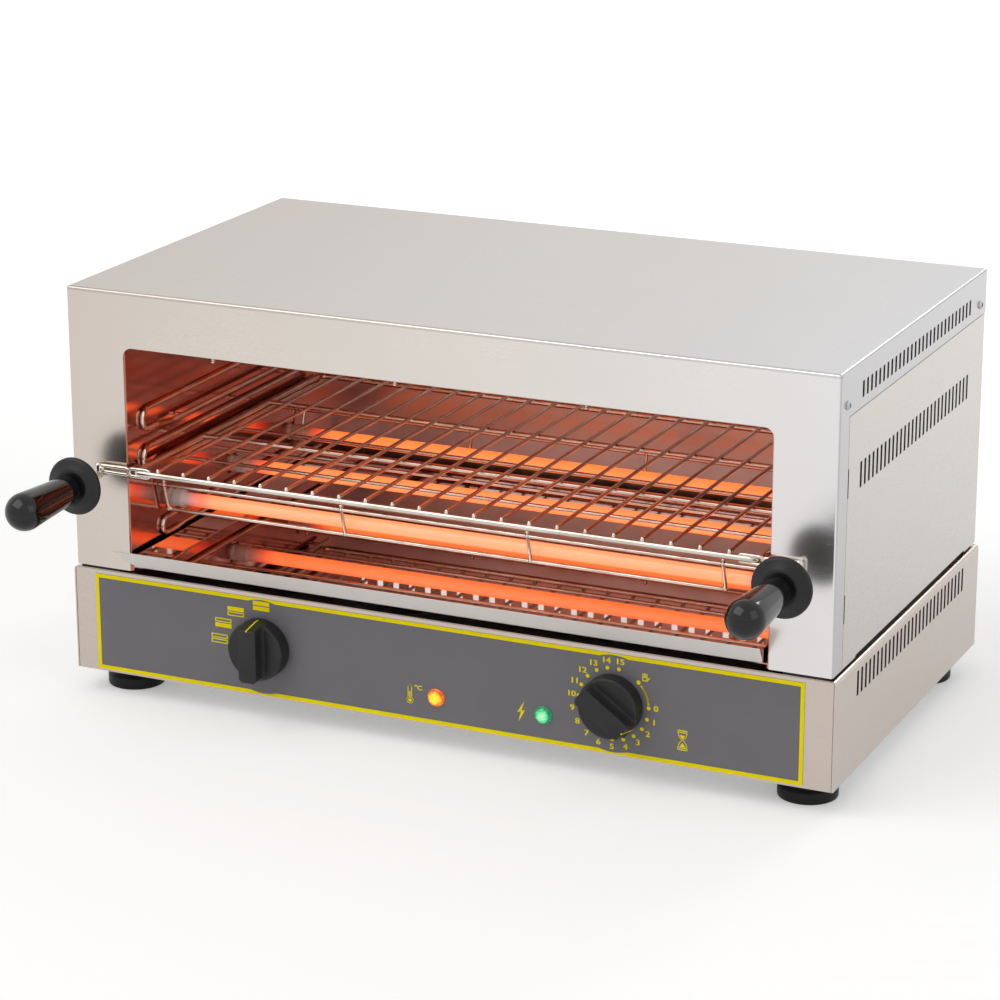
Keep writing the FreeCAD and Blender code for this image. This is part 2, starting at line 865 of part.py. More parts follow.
def make_tube_row(row_name, z):
    """Three tubes with their heating coils and the ceramic caps that hold them in the cavity's walls."""
    for word, y in zip(("front", "middle", "rear"), tube_ys):
        make_tube("%s_tube_%s" % (row_name, word), y, z)
    half_coil = half_cavity.value - S.coil_end_gap.value
    level = z.value
    coils = [
        rod(V(-half_coil, y.value, level), V(half_coil, y.value, level), S.coil_radius.value)
        for y in tube_ys
    ]
    shaped(row_name + "_coils", Part.makeCompound(coils))
    inside = half_cavity.value - S.cap_inside.value
    outside = inside + S.cap_length.value
    caps = []
    for side in (-1, 1):
        for y in tube_ys:
            start, end = V(side * inside, y.value, level), V(side * outside, y.value, level)
            socket = V(side * half_tube.value, y.value, level)
            cap = rod(start, end, S.cap_radius.value, BAR_FLATS)
            hollow = rod(start, socket, S.tube_radius.value + S.cap_clearance.value, BAR_FLATS)
            caps.append(cap.cut(hollow))
    shaped(row_name + "_caps", Part.makeCompound(caps))


def make_guard(name, y, away, z, up):
    """A long wire from wall to wall with a basket wire hung from it on four posts, beside an outer tube."""
    radius = S.guard_wire.value
    half = half_cavity.value
    top = V(0, y - away * S.guard_forward.value, z + up * S.guard_above.value)
    low = V(0, y - away * S.basket_forward.value, z - up * S.basket_below.value)
    start = up * (S.basket_end_gap.value - half)
    step = up * S.basket_pitch.value
    posts = [start + step * k for k in range(4)]
    wires = [rod(top + V(-half, 0, 0), top + V(half, 0, 0), radius)]
    basket = [top, low, low, top]
    for point, x in zip(range(4), (posts[0], posts[0], posts[3], posts[3])):
        basket[point] = basket[point] + V(x, 0, 0)
    wires.append(bent_wire(basket, radius))
    tip = top + (top - low).normalize() * S.post_tip.value
    wires += [rod(tip + V(x, 0, 0), low + V(x, 0, 0), S.post_wire.value) for x in posts[1:3]]
    wires += [rod(tip + V(x, 0, 0), top + V(x, 0, 0), radius) for x in (posts[0], posts[3])]
    shaped(name, fused(wires))


def make_guard_rods(name, z, up):
    """Three plain rods across the cavity beside the tubes, ending in its walls."""
    level = z + up * (S.guard_above.value - S.guard_wire.value)
    middle, rear = tube_ys[1].value, tube_ys[2].value
    places = [middle - S.guard_rod_front.value, middle, rear - S.guard_rod_rear.value]
    half = half_cavity.value
    rods = [rod(V(-half, y, level), V(half, y, level), S.guard_wire.value) for y in places]
    shaped(name, Part.makeCompound(rods))


def make_rack():
    """The welded grille: a bent frame, rods that lie on top of it and two braces below them."""
    rail, rod_radius = S.rail_radius.value, S.rod_radius.value
    half = half_rack.value - rail
    front, back = -S.rack_front.value, cavity_back.value - S.rack_rear_gap.value
    z, top = rack_z.value, rod_z.value
    corners = [V(-half, front, z), V(half, front, z), V(half, back, z), V(-half, back, z)]
    pieces = [bent_wire(clipped(corners, S.rail_bend.value), rail, closed=True, sides=BAR_FLATS)]
    count = int(S.rod_count.value)
    pitch = 2 * half / (count + 1)
    overhang = S.rod_overhang.value
    for k in range(count):
        x = -half + pitch * (k + 1)
        pieces.append(rod(V(x, front - overhang, top), V(x, back + overhang, top), rod_radius))
    for k in range(2):
        y = S.brace_first.value + S.brace_pitch.value * k
        pieces.append(rod(V(-half, y, z), V(half, y, z), S.brace_radius.value))
    shaped("wire_rack", fused(pieces))


def make_handle_links():
    """At each end of the rack's front rail two wires, the post that they carry and the handle's spindle."""
    half = half_rack.value - S.rail_radius.value
    reach = handle_x.value
    front, z, axis = -S.rack_front.value, rack_z.value, handle_z.value
    link, spindle = S.link_radius.value, S.spindle_radius.value
    tip = -S.shield_front.value - S.grip_socket.value
    assemblies = []
    for side in (-1, 1):
        pieces = []
        for gap in (-S.link_gap.value, S.link_gap.value):
            level = z + gap
            weld = V(side * (half - S.link_weld.value), front, level)
            pieces.append(rod(weld, V(side * reach, front, level), link))
        low, high = z - S.post_below.value, z + S.post_above.value
        for start, end, radius in (
            (V(side * reach, front, low), V(side * reach, front, high), S.post_radius.value),
            (V(side * reach, front, axis), V(side * reach, tip, axis), spindle),
        ):
            pieces.append(rod(start, end, radius, BAR_FLATS))
        assemblies.append(fused(pieces))
    shaped("handle_links", Part.makeCompound(assemblies))


def make_handles():
    """On each of the rack's spindles a round heat shield, and a grip that swells towards its domed end."""
    sides = int(S.turned_flats.value)
    spindle_end = S.shield_front.value + S.grip_socket.value
    hole = S.spindle_radius.value / math.cos(math.pi / BAR_FLATS) + S.shaft_clearance.value
    front, rim, neck = S.shield_front.value, S.shield_radius.value, S.grip_neck.value
    back = front - S.shield_thickness.value
    shield = [(rim, back), (rim, back + S.shield_rim.value), (neck + S.neck_collar.value, front)]
    radius, tip = S.grip_radius.value, S.handle_reach.value
    grip = [(neck, front)]
    steps = 4
    for k in range(steps):
        angle = math.pi / 2 * k / steps
        grip.append((radius * math.cos(angle), tip - radius + radius * math.sin(angle)))
    grip.append((S.grip_flat.value, tip))
    outwards = Y_AXIS * -1
    shields, grips = [], []
    for side in (-1, 1):
        foot = V(side * handle_x.value, 0, handle_z.value)
        bore = rod(foot, foot + outwards * (spindle_end + S.slide_clearance.value), hole, BAR_FLATS)
        shields.append(faceted(shield, foot, outwards, sides).cut(bore))
        grips.append(faceted(grip, foot, outwards, sides).cut(bore))
    shaped("handle_shields", Part.makeCompound(shields))
    shaped("handle_grips", Part.makeCompound(grips))


def make_crumb_tray():
    """A folded tray whose front lip slopes out and up, and grows wider on its way."""
    body = new_body("crumb_tray")
    section = new_sketch(body, "tray_section", "YZ_Plane")
    wall, low, back = S.tray_wall, tray_z, cavity_back - S.tray_rear_gap
    points = [(0, low), (back, low), (back, low + S.tray_side), (back - wall, low + S.tray_side)]
    points += [(back - wall, low + wall), (0, low + wall)]
    outline(section, points)
    floor = pad(body, section, half_tray * 2)
    floor.Midplane = True
    sides = new_sketch(body, "tray_sides", "XY_Plane", low)
    for side in (-1, 1):
        rectangle(sides, ((half_tray - wall) * side, S.skin + S.liner), (half_tray * side, back))
    pad(body, sides, S.tray_side)
    foot = new_sketch(body, "lip_foot", "XY_Plane", low)
    rectangle(foot, (-half_tray, 0), (half_tray, S.lip_slant))
    rim = new_sketch(body, "lip_rim", "XY_Plane", low + S.lip_rise)
    end = half_tray + S.lip_flare
    rectangle(rim, (-end, -S.lip_reach), (end, S.lip_slant - S.lip_reach))
    lip = body.newObject("PartDesign::AdditiveLoft", "lip")
    lip.Profile = foot
    lip.Sections = [rim]
    lip.Ruled = True
    place(body)


def make_knob(name, x, angle):
    """A skirt with a bevelled front and a finger blade across it, turned to its setting."""
    body = new_body(name)
    skirt = body.newObject("PartDesign::AdditivePrism", name + "_skirt")
    skirt.Polygon = int(S.turned_flats.value)
    bind(skirt, "Circumradius", S.knob_radius)
    bind(skirt, "Height", S.skirt_depth)
    skirt.Placement.Rotation = FreeCAD.Rotation(X_AXIS, 90)
    rim = -S.skirt_depth.value
    chamfer(body, skirt, lambda e: e.BoundBox.YMax < rim + 1e-3, S.knob_slope)
    blade = new_sketch(body, name + "_blade", "XZ_Plane")
    rectangle(
        blade,
        (-S.blade_width / 2, -S.blade_length / 2),
        (S.blade_width / 2, S.blade_length / 2),
    )
    grip = pad(body, blade, S.knob_depth)
    tip = -S.knob_depth.value
    chamfer(body, grip, lambda e: e.BoundBox.YMax < tip + 1e-3, S.blade_edge)
    bore = new_sketch(body, name + "_bore", "XZ_Plane")
    circle(bore, 0, 0, S.shaft_radius)
    pocket(body, bore, S.shaft_grip, backwards=True)
    body.Placement.Rotation = FreeCAD.Rotation(Y_AXIS, 1)
    bind(body, "Placement.Rotation.Angle", Size.of(angle))
    place(body, x, -(S.label_thickness + S.knob_clearance), dial_z)


def make_shaft(name, x):
    """The shaft that the knob is pushed on to. It turns in the bush of the switch or timer."""
    shaft = doc.addObject("Part::Cylinder", name)
    shaft.Label = name
    bind(shaft, "Radius", S.shaft_radius)
    front = S.label_thickness + S.knob_clearance + S.shaft_grip
    bind(shaft, "Height", front + S.shaft_reach)
    shaft.Placement.Rotation = FreeCAD.Rotation(X_AXIS, -90)
    place(shaft, x, -front, dial_z)


def make_control(name, x, width, depth):
    """The housing behind the panel, with the bush that carries the shaft and passes through the panel."""
    body = new_body(name)
    case = new_sketch(body, name + "_case", "XZ_Plane", -S.skin)
    half = width / 2
    rectangle(case, (-half, -half), (half, half))
    pad(body, case, depth, backwards=True)
    bush = new_sketch(body, name + "_bush", "XZ_Plane", -S.skin)
    octagon(bush, Size.of(0), Size.of(0), S.bush_radius)
    pad(body, bush, S.skin + S.label_thickness)
    bore = new_sketch(body, name + "_bore", "XZ_Plane", S.label_thickness)
    circle(bore, 0, 0, S.shaft_radius + S.shaft_clearance)
    pocket(body, bore, S.label_thickness + S.shaft_reach + S.slide_clearance)
    place(body, x, 0, dial_z)


def make_lamp(colour, x):
    """A lamp body through the panel and its domed lens in front."""
    body = new_body(colour + "_lamp")
    barrel = new_sketch(body, colour + "_barrel", "XZ_Plane", S.label_thickness)
    octagon(barrel, Size.of(0), Size.of(0), S.lamp_radius)
    pad(body, barrel, S.label_thickness + S.lamp_length, backwards=True)
    place(body, x, 0, lamp_z)
    rim, rise = S.lens_radius.value, S.lens_rise.value
    dome = [(rim, 0), (rim, rise / 3), (rim * 3 / 4, rise * 3 / 4), (rim / 3, rise)]
    centre = V(x.value, -S.label_thickness.value, lamp_z.value)
    shaped(colour + "_lens", faceted(dome, centre, Y_AXIS * -1, int(S.lens_flats.value)))


def make_terminal_block():
    """A row of wire chambers on the bottom plate."""
    body = new_body("terminal_block")
    block = new_sketch(body, "block_plan", "XY_Plane")
    rectangle(block, (0, 0), (S.block_width, S.block_depth))
    pad(body, block, S.block_height)
    way = new_sketch(body, "block_way", "XZ_Plane")
    pitch = S.block_width / S.block_ways
    middle = S.block_height / 2
    rectangle(
        way,
        (pitch / 2 - S.cable_radius, middle - S.cable_radius),
        (pitch / 2 + S.cable_radius, middle + S.cable_radius),
    )
    cut = pocket(body, way, both_ways=True)
    row(body, cut, way, "H_Axis", pitch, S.block_ways)
    place(body, half_base - S.block_inset, S.body_depth - S.block_rear_space, base_low + S.skin)


def make_gland():
    """The empty cable gland in the back of the base: a neck through the sheet between two hexagonal nuts."""
    back = S.body_depth.value
    x, z = half_base.value - S.gland_inset.value, base_low.value + S.gland_rise.value
    wall, reach = S.skin.value, S.gland_reach.value
    nut = S.gland_radius.value
    inside, outside = V(x, back - S.gland_inside.value, z), V(x, back + reach, z)
    run = outside - inside
    pieces = [
        rod(inside, outside, S.gland_neck.value, BAR_FLATS),
        rod(inside, V(x, back - wall, z), nut),
        rod(V(x, back, z), V(x, back + S.gland_nut.value, z), nut),
    ]
    bore = Part.makeCylinder(S.gland_bore.value, run.Length, inside, run)
    shaped("cable_gland", fused(pieces).cut(bore))


def make_thermostat():
    """The limit thermostat, held up under the base's top."""
    top = V(S.thermostat_place.value, S.body_depth.value / 2, base_top.value - S.skin.value)
    low = top - Z_AXIS * S.thermostat_height.value
    shaped("limit_thermostat", rod(low, top, S.thermostat_radius.value, TUBE_FLATS))


def make_harness():
    """The leads in the base: from the terminal block to the switch and to the timer."""
    radius, spacing = S.lead_radius.value, S.lead_spacing.value
    block_y = S.body_depth.value - S.block_rear_space.value
    pitch = S.block_width.value / S.block_ways.value
    level = base_low.value + S.skin.value + S.block_height.value / 2
    leads = []
    block_x = half_base.value - S.block_inset.value
    for way, lane, x, depth in ((0, 2, selector_x, S.switch_depth), (2, 1, timer_x, S.timer_depth)):
        start = V(block_x + pitch * (way + 0.5), block_y, level)
        back = S.skin.value + depth.value
        turn = block_y - spacing * lane
        corners = [start, V(start.x, turn, level), V(x.value, turn, level), V(x.value, back, level)]
        leads.append(bent_wire(corners, radius))
    shaped("wiring_harness", Part.makeCompound(leads))


def foot_places():
    side = half_base - S.foot_inset_side
    front, back = S.foot_inset_front, S.body_depth - S.foot_inset_front
    return [(side * s, y) for s in (-1, 1) for y in (front, back)]


def make_feet():
    """Four rubber feet, each a waisted disc, and the stud and nut that hold it to the bottom plate."""
    radius, waist, height = S.foot_radius.value, S.foot_waist.value, S.foot_height.value
    middle = height / 2
    flats = int(S.foot_flats.value)
    pad_disc = rod(V(0, 0, 0), Z_AXIS * middle, radius, flats)
    foot = fused([pad_disc, rod(Z_AXIS * middle, Z_AXIS * height, waist, flats)])
    places = [(x.value, y.value, 0) for x, y in foot_places()]
    shaped("feet", copies(foot, places))
    stud = S.foot_stud.value
    sheet_top = V(0, 0, height + S.skin.value)
    nut = rod(sheet_top, sheet_top + Z_AXIS * stud, S.stud_nut.value)
    shank = rod(V(0, 0, height), sheet_top + Z_AXIS * stud, stud, BAR_FLATS)
    shaped("foot_studs", copies(fused([shank, nut]), places))


def screw(seat, out):
    """A screw whose head rests on seat and whose shank goes the other way."""
    head = rod(seat, seat + out * S.screw_head.value, S.screw_radius.value)
    shank = rod(seat - out * S.screw_length.value, seat, S.screw_shank.value)
    return fused([head, shank])


def make_screws():
    """Pan-headed screws: two in each side flange of the cover and four in the rear panel."""
    seats = [
        (V(half_body.value * side, y.value, z.value), X_AXIS * side)
        for side in (-1, 1)
        for y, z in cover_screw_places()
    ]
    shaped("cover_screws", Part.makeCompound([screw(seat, out) for seat, out in seats]))
    seats = [V(x.value, S.body_depth.value, z.value) for x, z in rear_screw_places()]
    shaped("rear_screws", Part.makeCompound([screw(seat, Y_AXIS) for seat in seats]))


make_cover()
for word, side in (("left", -1), ("right", 1)):
    make_side_panel("side_panel_" + word, side)
    make_spacer("body_spacer_" + word, side)
    make_liner_side("liner_" + word, side)
    make_tray_rail("tray_rail_" + word, side)
    make_runner("rack_runner_" + word, side)
make_rear_panel()
make_base_casing()
make_base_front()
make_base_bottom()
make_control_label()
make_liner_back()
make_ceiling()
for row_name, up in (("lower", 1), ("upper", -1)):
    level = row_levels[row_name]
    make_tube_row(row_name, level)
    make_guard(row_name + "_guard_front", tube_ys[0].value, 1, level.value, up)
    make_guard(row_name + "_guard_rear", tube_ys[2].value, -1, level.value, up)
    make_guard_rods(row_name + "_guard_rods", level.value, up)
make_rack()
make_handle_links()
make_handles()
make_crumb_tray()
make_knob("selector_knob", selector_x, 0)
make_shaft("selector_shaft", selector_x)
make_control("selector_switch", selector_x, S.switch_width, S.switch_depth)
make_knob("timer_knob", timer_x, S.timer_rest)
make_shaft("timer_shaft", timer_x)
make_control("timer_body", timer_x, S.timer_width, S.timer_depth)
make_lamp("amber", S.amber_place)
make_lamp("green", S.green_place)
make_terminal_block()
make_gland()
make_thermostat()
make_harness()
make_feet()
make_screws()
doc.recompute()

for item in doc.Objects:
    if {"Invalid", "Error"} & set(item.State):
        raise RuntimeError("%s failed: %s" % (item.Name, item.State))
os.makedirs("parts", exist_ok=True)
for item in PARTS:
    shape = item.Shape
    if shape.isNull() or not shape.isValid() or not shape.Solids:
        raise RuntimeError("%s has no valid solid" % item.Label)
    shape.exportStep("parts/%s.step" % item.Label)
print(len(PARTS), "sub-parts written")
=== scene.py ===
import json
import math

import bpy
from mathutils import Matrix, Vector


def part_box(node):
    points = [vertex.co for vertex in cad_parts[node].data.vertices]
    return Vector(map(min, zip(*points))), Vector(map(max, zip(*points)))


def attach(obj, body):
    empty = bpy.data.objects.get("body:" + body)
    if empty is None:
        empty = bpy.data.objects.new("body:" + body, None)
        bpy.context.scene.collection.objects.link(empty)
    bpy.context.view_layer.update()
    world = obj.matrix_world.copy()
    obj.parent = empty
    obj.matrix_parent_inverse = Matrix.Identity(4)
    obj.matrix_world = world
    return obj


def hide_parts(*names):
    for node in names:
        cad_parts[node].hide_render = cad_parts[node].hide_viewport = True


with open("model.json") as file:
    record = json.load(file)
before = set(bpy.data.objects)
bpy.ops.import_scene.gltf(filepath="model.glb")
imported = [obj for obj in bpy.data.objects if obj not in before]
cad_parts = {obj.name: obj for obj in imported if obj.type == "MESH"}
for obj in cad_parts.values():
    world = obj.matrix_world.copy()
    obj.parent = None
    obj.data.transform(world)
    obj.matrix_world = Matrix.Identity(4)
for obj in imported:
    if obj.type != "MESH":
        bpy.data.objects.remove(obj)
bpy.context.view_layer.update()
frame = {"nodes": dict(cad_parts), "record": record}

# Lengths are in metres. MM turns a size in millimetres into one.
MM = 0.001

# Places read from the construction model.
COVER_LOW, COVER_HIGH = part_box("cover")
FRONT = COVER_LOW.y
BODY_TOP = COVER_HIGH.z
LABEL_LOW, LABEL_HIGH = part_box("control_label")
LABEL_FACE = LABEL_LOW.y
RACK_LOW, RACK_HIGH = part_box("wire_rack")
TRAY_LOW, TRAY_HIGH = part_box("crumb_tray")
WALL = -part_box("liner_left")[1].x  # the cavity's walls stand this far from the middle

# Sizes and places, the same as in the construction model.
RAIL_RADIUS = 2.5 * MM
ROD_RADIUS = 1.5 * MM
ROD_COUNT = 22
BRACE_RADIUS = 2 * MM
BRACES = (105 * MM, 215 * MM)  # behind the front face
RUNNER_RADIUS = 2 * MM
GUARD_RADIUS = 1.5 * MM
POST_START = 262 * MM
POST_PITCH = 158.7 * MM
SHIELD_RADIUS = 23 * MM
KNOB_RADIUS = 24 * MM
FOOT_RADIUS = 23 * MM
SCREW_RADIUS = 3.5 * MM
SCREW_RISE = 2 * MM
VENT_DROP = 110 * MM  # from the roof down to the slots in the cavity's back

# Angles on the timer's dial, in degrees clockwise from the top.
DIAL_ZERO = 88
DIAL_MINUTE = 18.7
DIAL_HOLD = 45
TIMER_AT_REST = 125.4  # two minutes

# Depths under a sheet's outer face between which its painted shade sets in, and the same for the roof's
# front fold, where a painted shade dims the fold's highlight.
SHEET_SKIN = (1.2 * MM, 0.5 * MM)
FOLD_SKIN = (3.2 * MM, 2.6 * MM)
FOLD_PAINTED_SHADE = 0.8

PRINT_DEPTH = 0.08 * MM
FIGURE_STRETCH = 1.2


def material(name, colour=(0.8, 0.8, 0.8), **settings):
    """A Principled material. Settings are its sockets' names in lower case with underscores."""
    made = bpy.data.materials.new(name)
    made.use_nodes = True
    shader = made.node_tree.nodes["Principled BSDF"]
    shader.inputs["Base Color"].default_value = (*colour, 1)
    for key, value in settings.items():
        shader.inputs[key.replace("_", " ").title().replace("Ior", "IOR")].default_value = value
    return made


class Nodes:
    """Adds nodes to a material and joins them up."""

    def __init__(self, made):
        self.tree = made.node_tree
        self.shader = self.tree.nodes["Principled BSDF"]

    def add(self, kind, links=None, **settings):
        """A node of a kind. Links gives each socket another node's output or a plain value."""
        node = self.tree.nodes.new("ShaderNode" + kind)
        for key, value in settings.items():
            setattr(node, key, value)
        for socket, value in (links or {}).items():
            if isinstance(value, bpy.types.NodeSocket):
                self.tree.links.new(value, node.inputs[socket])
            else:
                node.inputs[socket].default_value = value
        return node

    def calc(self, operation, *values):
        """The result of one sum on numbers."""
        return self.add("Math", dict(enumerate(values)), operation=operation).outputs[0]

    def vector(self, operation, *values):
        """The result of one sum on vectors."""
        return self.add("VectorMath", dict(enumerate(values)), operation=operation).outputs["Vector"]

    def scaled(self, colour, factor):
        """A colour times a number."""
        return self.add("VectorMath", {0: colour, "Scale": factor}, operation="SCALE").outputs["Vector"]

    def place(self, stretch=(1, 1, 1)):
        """The place on the object in metres, stretched by a factor along each axis."""
        where = self.add("TexCoord").outputs["Object"]
        return self.add("Mapping", {"Vector": where, "Scale": stretch}).outputs["Vector"]

    def axes(self):
        """The place on the object as its X, Y and Z."""
        return self.add("SeparateXYZ", {"Vector": self.place()}).outputs

    def noise(self, scale, detail=3, stretch=(1, 1, 1), roughness=0.5):
        """Smooth noise from 0 to 1."""
        links = {"Vector": self.place(stretch), "Scale": scale, "Detail": detail, "Roughness": roughness}
        return self.add("TexNoise", links).outputs["Fac"]

    def span(self, value, low, high, start=0.0, end=1.0):
        """Carries a value from start to end over to low to high, and holds it there outside."""
        links = {"Value": value, "From Min": start, "From Max": end, "To Min": low, "To Max": high}
        return self.add("MapRange", links).outputs["Result"]

    def ramp(self, value, stops):
        """A colour ramp over (position, colour) stops."""
        node = self.add("ValToRGB", {"Fac": value})
        band = node.color_ramp
        for _ in stops[2:]:
            band.elements.new(0.5)
        for element, (position, colour) in zip(band.elements, stops):
            element.position = position
            element.color = (*colour, 1)
        return node.outputs["Color"]

    def bump(self, height, distance):
        """A normal that follows a height of up to distance."""
        return self.add("Bump", {"Height": height, "Distance": distance}).outputs["Normal"]

    def set(self, socket, value):
        """Joins a node's output to a socket of the shader."""
        self.tree.links.new(value, self.shader.inputs[socket])


def shade(colour, factor):
    """A colour made darker or lighter."""
    return tuple(min(1.0, c * factor) for c in colour)


def sheet_steel(name, roughness, grain, tones_and_painted_light, wear=0.04, top=1.0, flank_painted_shade=1.0):
    """Brushed or rolled sheet: fine streaks along the grain, soft clouds in tone and gloss.

    Grain is the number of the axis that the streaks follow. The tones_and_painted_light pass from the left
    to the right of the body; on the stainless sheets they are painted light and shade. Top and
    flank_painted_shade are the share of them on the roof of the body and on its side flanges, a painted
    shade there. Where the roof has its own painted shade, its fold at the front is darkened too, a painted
    shade that dims its highlight.
    """
    made = material(name, tones_and_painted_light[0], metallic=1.0)
    n = Nodes(made)
    fineness, streak_share, cloud_share = 55.0, 0.6, 0.4
    stretch = tuple(1 if axis == grain else fineness for axis in range(3))
    streaks = n.noise(40, 2, stretch, 0.6)
    clouds = n.noise(9, 3)
    mixed = n.calc(
        "ADD",
        n.calc("MULTIPLY", n.span(streaks, -0.5, 0.5), streak_share),
        n.span(clouds, -cloud_share, cloud_share),
    )
    place = n.axes()
    # Painted light and shade on the stainless: the ramp darkens the left of the body and lightens its right.
    steps = [(k / (len(tones_and_painted_light) - 1), colour) for k, colour in enumerate(tones_and_painted_light)]
    colour = n.ramp(n.span(place["X"], 0, 1, COVER_LOW.x, COVER_HIGH.x), steps)
    light, dark = (1 + wear,) * 3, (1 - wear,) * 3
    worn = {
        "Fac": 1.0,
        "Color1": colour,
        "Color2": n.ramp(n.span(mixed, 0, 1, -0.5, 0.5), [(0.2, dark), (0.8, light)]),
    }
    colour = n.add("MixRGB", worn, blend_type="MULTIPLY").outputs[0]
    # Painted shade: the roof is darkened by the factor top, and its front fold darker still to dim the
    # fold's highlight.
    if top != 1.0:
        roof = n.span(place["Z"], 1.0, top, BODY_TOP - SHEET_SKIN[0], BODY_TOP - SHEET_SKIN[1])
        high = n.span(place["Z"], 0, 1, BODY_TOP - FOLD_SKIN[0], BODY_TOP - FOLD_SKIN[1])
        near = n.span(place["Y"], 1, 0, FRONT + FOLD_SKIN[1], FRONT + FOLD_SKIN[0])
        fold = n.span(n.calc("MULTIPLY", high, near), 1.0, FOLD_PAINTED_SHADE)
        colour = n.scaled(n.scaled(colour, roof), fold)
    # Painted shade: the cover's side flanges are darkened by flank_painted_shade.
    if flank_painted_shade != 1.0:
        away = n.calc("ABSOLUTE", place["X"])
        side = n.span(away, 1.0, flank_painted_shade, COVER_HIGH.x - SHEET_SKIN[0], COVER_HIGH.x - SHEET_SKIN[1])
        colour = n.scaled(colour, side)
    n.set("Base Color", colour)
    n.set("Roughness", n.span(mixed, roughness - 0.05, roughness + 0.07, -0.5, 0.5))
    n.set("Normal", n.bump(streaks, 0.00001))
    return made


def polished_steel(name, colour, roughness, tint, scratch=1.0):
    """Bright steel sheet that heat has tinted in patches, with fine scratches."""
    made = material(name, colour, metallic=1.0)
    n = Nodes(made)
    patches = n.noise(7, 4, roughness=0.6)
    n.set("Base Color", n.ramp(patches, [(0.35, colour), (0.7, tint)]))
    scratches = n.noise(60, 3, (1, 25, 1))
    n.set("Roughness", n.span(n.noise(25, 4), roughness * 0.6, roughness * 1.5))
    n.set("Normal", n.bump(scratches, 0.00001 * scratch))
    return made


def tray_steel(name, colour, tint):
    """Polished sheet, a mirror in the cavity. The lip in front of it is painted light: pale, dull and not
    metal.
    """
    mirror, few_scratches = 0.02, 0.06
    lip_painted_light_colour, lip_roughness = (0.95, 0.92, 0.89, 1), 0.5
    made = polished_steel(name, colour, mirror, tint, few_scratches)
    n = Nodes(made)
    lip_painted_light_mask = n.span(n.axes()["Y"], 1, 0, FRONT - 1 * MM, FRONT + 1 * MM)
    rough, paint = (n.shader.inputs[key].links[0].from_socket for key in ("Roughness", "Base Color"))
    n.set("Roughness", n.add("Mix", {"Factor": lip_painted_light_mask, "A": rough, "B": lip_roughness}).outputs["Result"])
    # Painted light: the lip gets a pale colour and no metal, so that it looks lit.
    lip = {"Fac": lip_painted_light_mask, "Color1": paint, "Color2": lip_painted_light_colour}
    n.set("Base Color", n.add("MixRGB", lip).outputs["Color"])
    n.set("Metallic", n.span(lip_painted_light_mask, 1.0, 0.0))
    return made


def wire_steel(name, colour, tint):
    """Drawn wire, a little browned by heat."""
    made = material(name, colour, metallic=1.0)
    n = Nodes(made)
    n.set("Base Color", n.ramp(n.noise(45, 3), [(0.35, colour), (0.75, tint)]))
    n.set("Roughness", n.span(n.noise(160, 2), 0.08, 0.2))
    return made


def moulded(name, colour, roughness, grain=0.5, shine=0.3):
    """Moulded plastic or rubber with a fine surface grain."""
    made = material(name, colour, specular_ior_level=shine)
    n = Nodes(made)
    fine = n.noise(1400, 2)
    n.set("Base Color", n.ramp(n.noise(70, 3), [(0.3, shade(colour, 0.8)), (0.75, shade(colour, 1.25))]))
    n.set("Roughness", n.span(n.noise(300, 2), roughness * 0.85, roughness * 1.15))
    n.set("Normal", n.bump(fine, 0.00004 * grain))
    return made


def printed_film(name, colour):
    """The satin film on the control panel."""
    made = material(name, colour, roughness=0.5)
    n = Nodes(made)
    n.set("Base Color", n.ramp(n.noise(25, 3), [(0.35, shade(colour, 0.96)), (0.7, shade(colour, 1.04))]))
    n.set("Normal", n.bump(n.noise(1800, 2), 0.000015))
    return made


def ink(name, colour):
    """Dull printing ink of a nearly even colour."""
    made = material(name, colour, roughness=0.5, specular_ior_level=0.06)
    n = Nodes(made)
    n.set("Base Color", n.ramp(n.noise(60, 3), [(0.3, shade(colour, 0.93)), (0.7, colour)]))
    return made


def glowing_quartz(name, half_hot):
    """Milky quartz that glows for half_hot on each side of the middle and is pale towards its ends."""
    made = material(name, (0.85, 0.7, 0.6), roughness=0.25, coat_weight=0.6, coat_roughness=0.08)
    n = Nodes(made)
    coil_wave, ripple_depth, cloud_depth = 2600.0, 0.04, 0.12
    along = n.axes()["X"]
    heat = n.span(n.calc("ABSOLUTE", along), 1, 0, half_hot - 18 * MM, half_hot + 6 * MM)
    wave = n.calc("SINE", n.calc("MULTIPLY", along, coil_wave))
    uneven = n.noise(30, 2, (1, 0.2, 0.2))
    ripple = n.calc(
        "ADD",
        n.span(wave, -ripple_depth, ripple_depth, -1, 1),
        n.span(uneven, -cloud_depth, cloud_depth),
    )
    glow = n.calc("ADD", heat, ripple)
    n.set("Emission Color", n.ramp(glow, [
        (0.0, (0.0, 0.0, 0.0)),
        (0.35, (0.5, 0.03, 0.004)),
        (0.8, (1.0, 0.13, 0.02)),
        (1.0, (1.0, 0.19, 0.03)),
    ]))
    n.set("Base Color", n.ramp(heat, [(0.0, (0.92, 0.9, 0.87)), (0.5, (0.72, 0.52, 0.44))]))
    n.shader.inputs["Emission Strength"].default_value = 1.3
    return made


def ceramic(name, colour):
    """Unglazed ceramic with a coarse grain."""
    made = material(name, colour, roughness=0.7)
    n = Nodes(made)
    n.set("Base Color", n.ramp(n.noise(120, 4), [(0.3, shade(colour, 0.75)), (0.7, colour)]))
    n.set("Normal", n.bump(n.noise(700, 3), 0.00008))
    return made


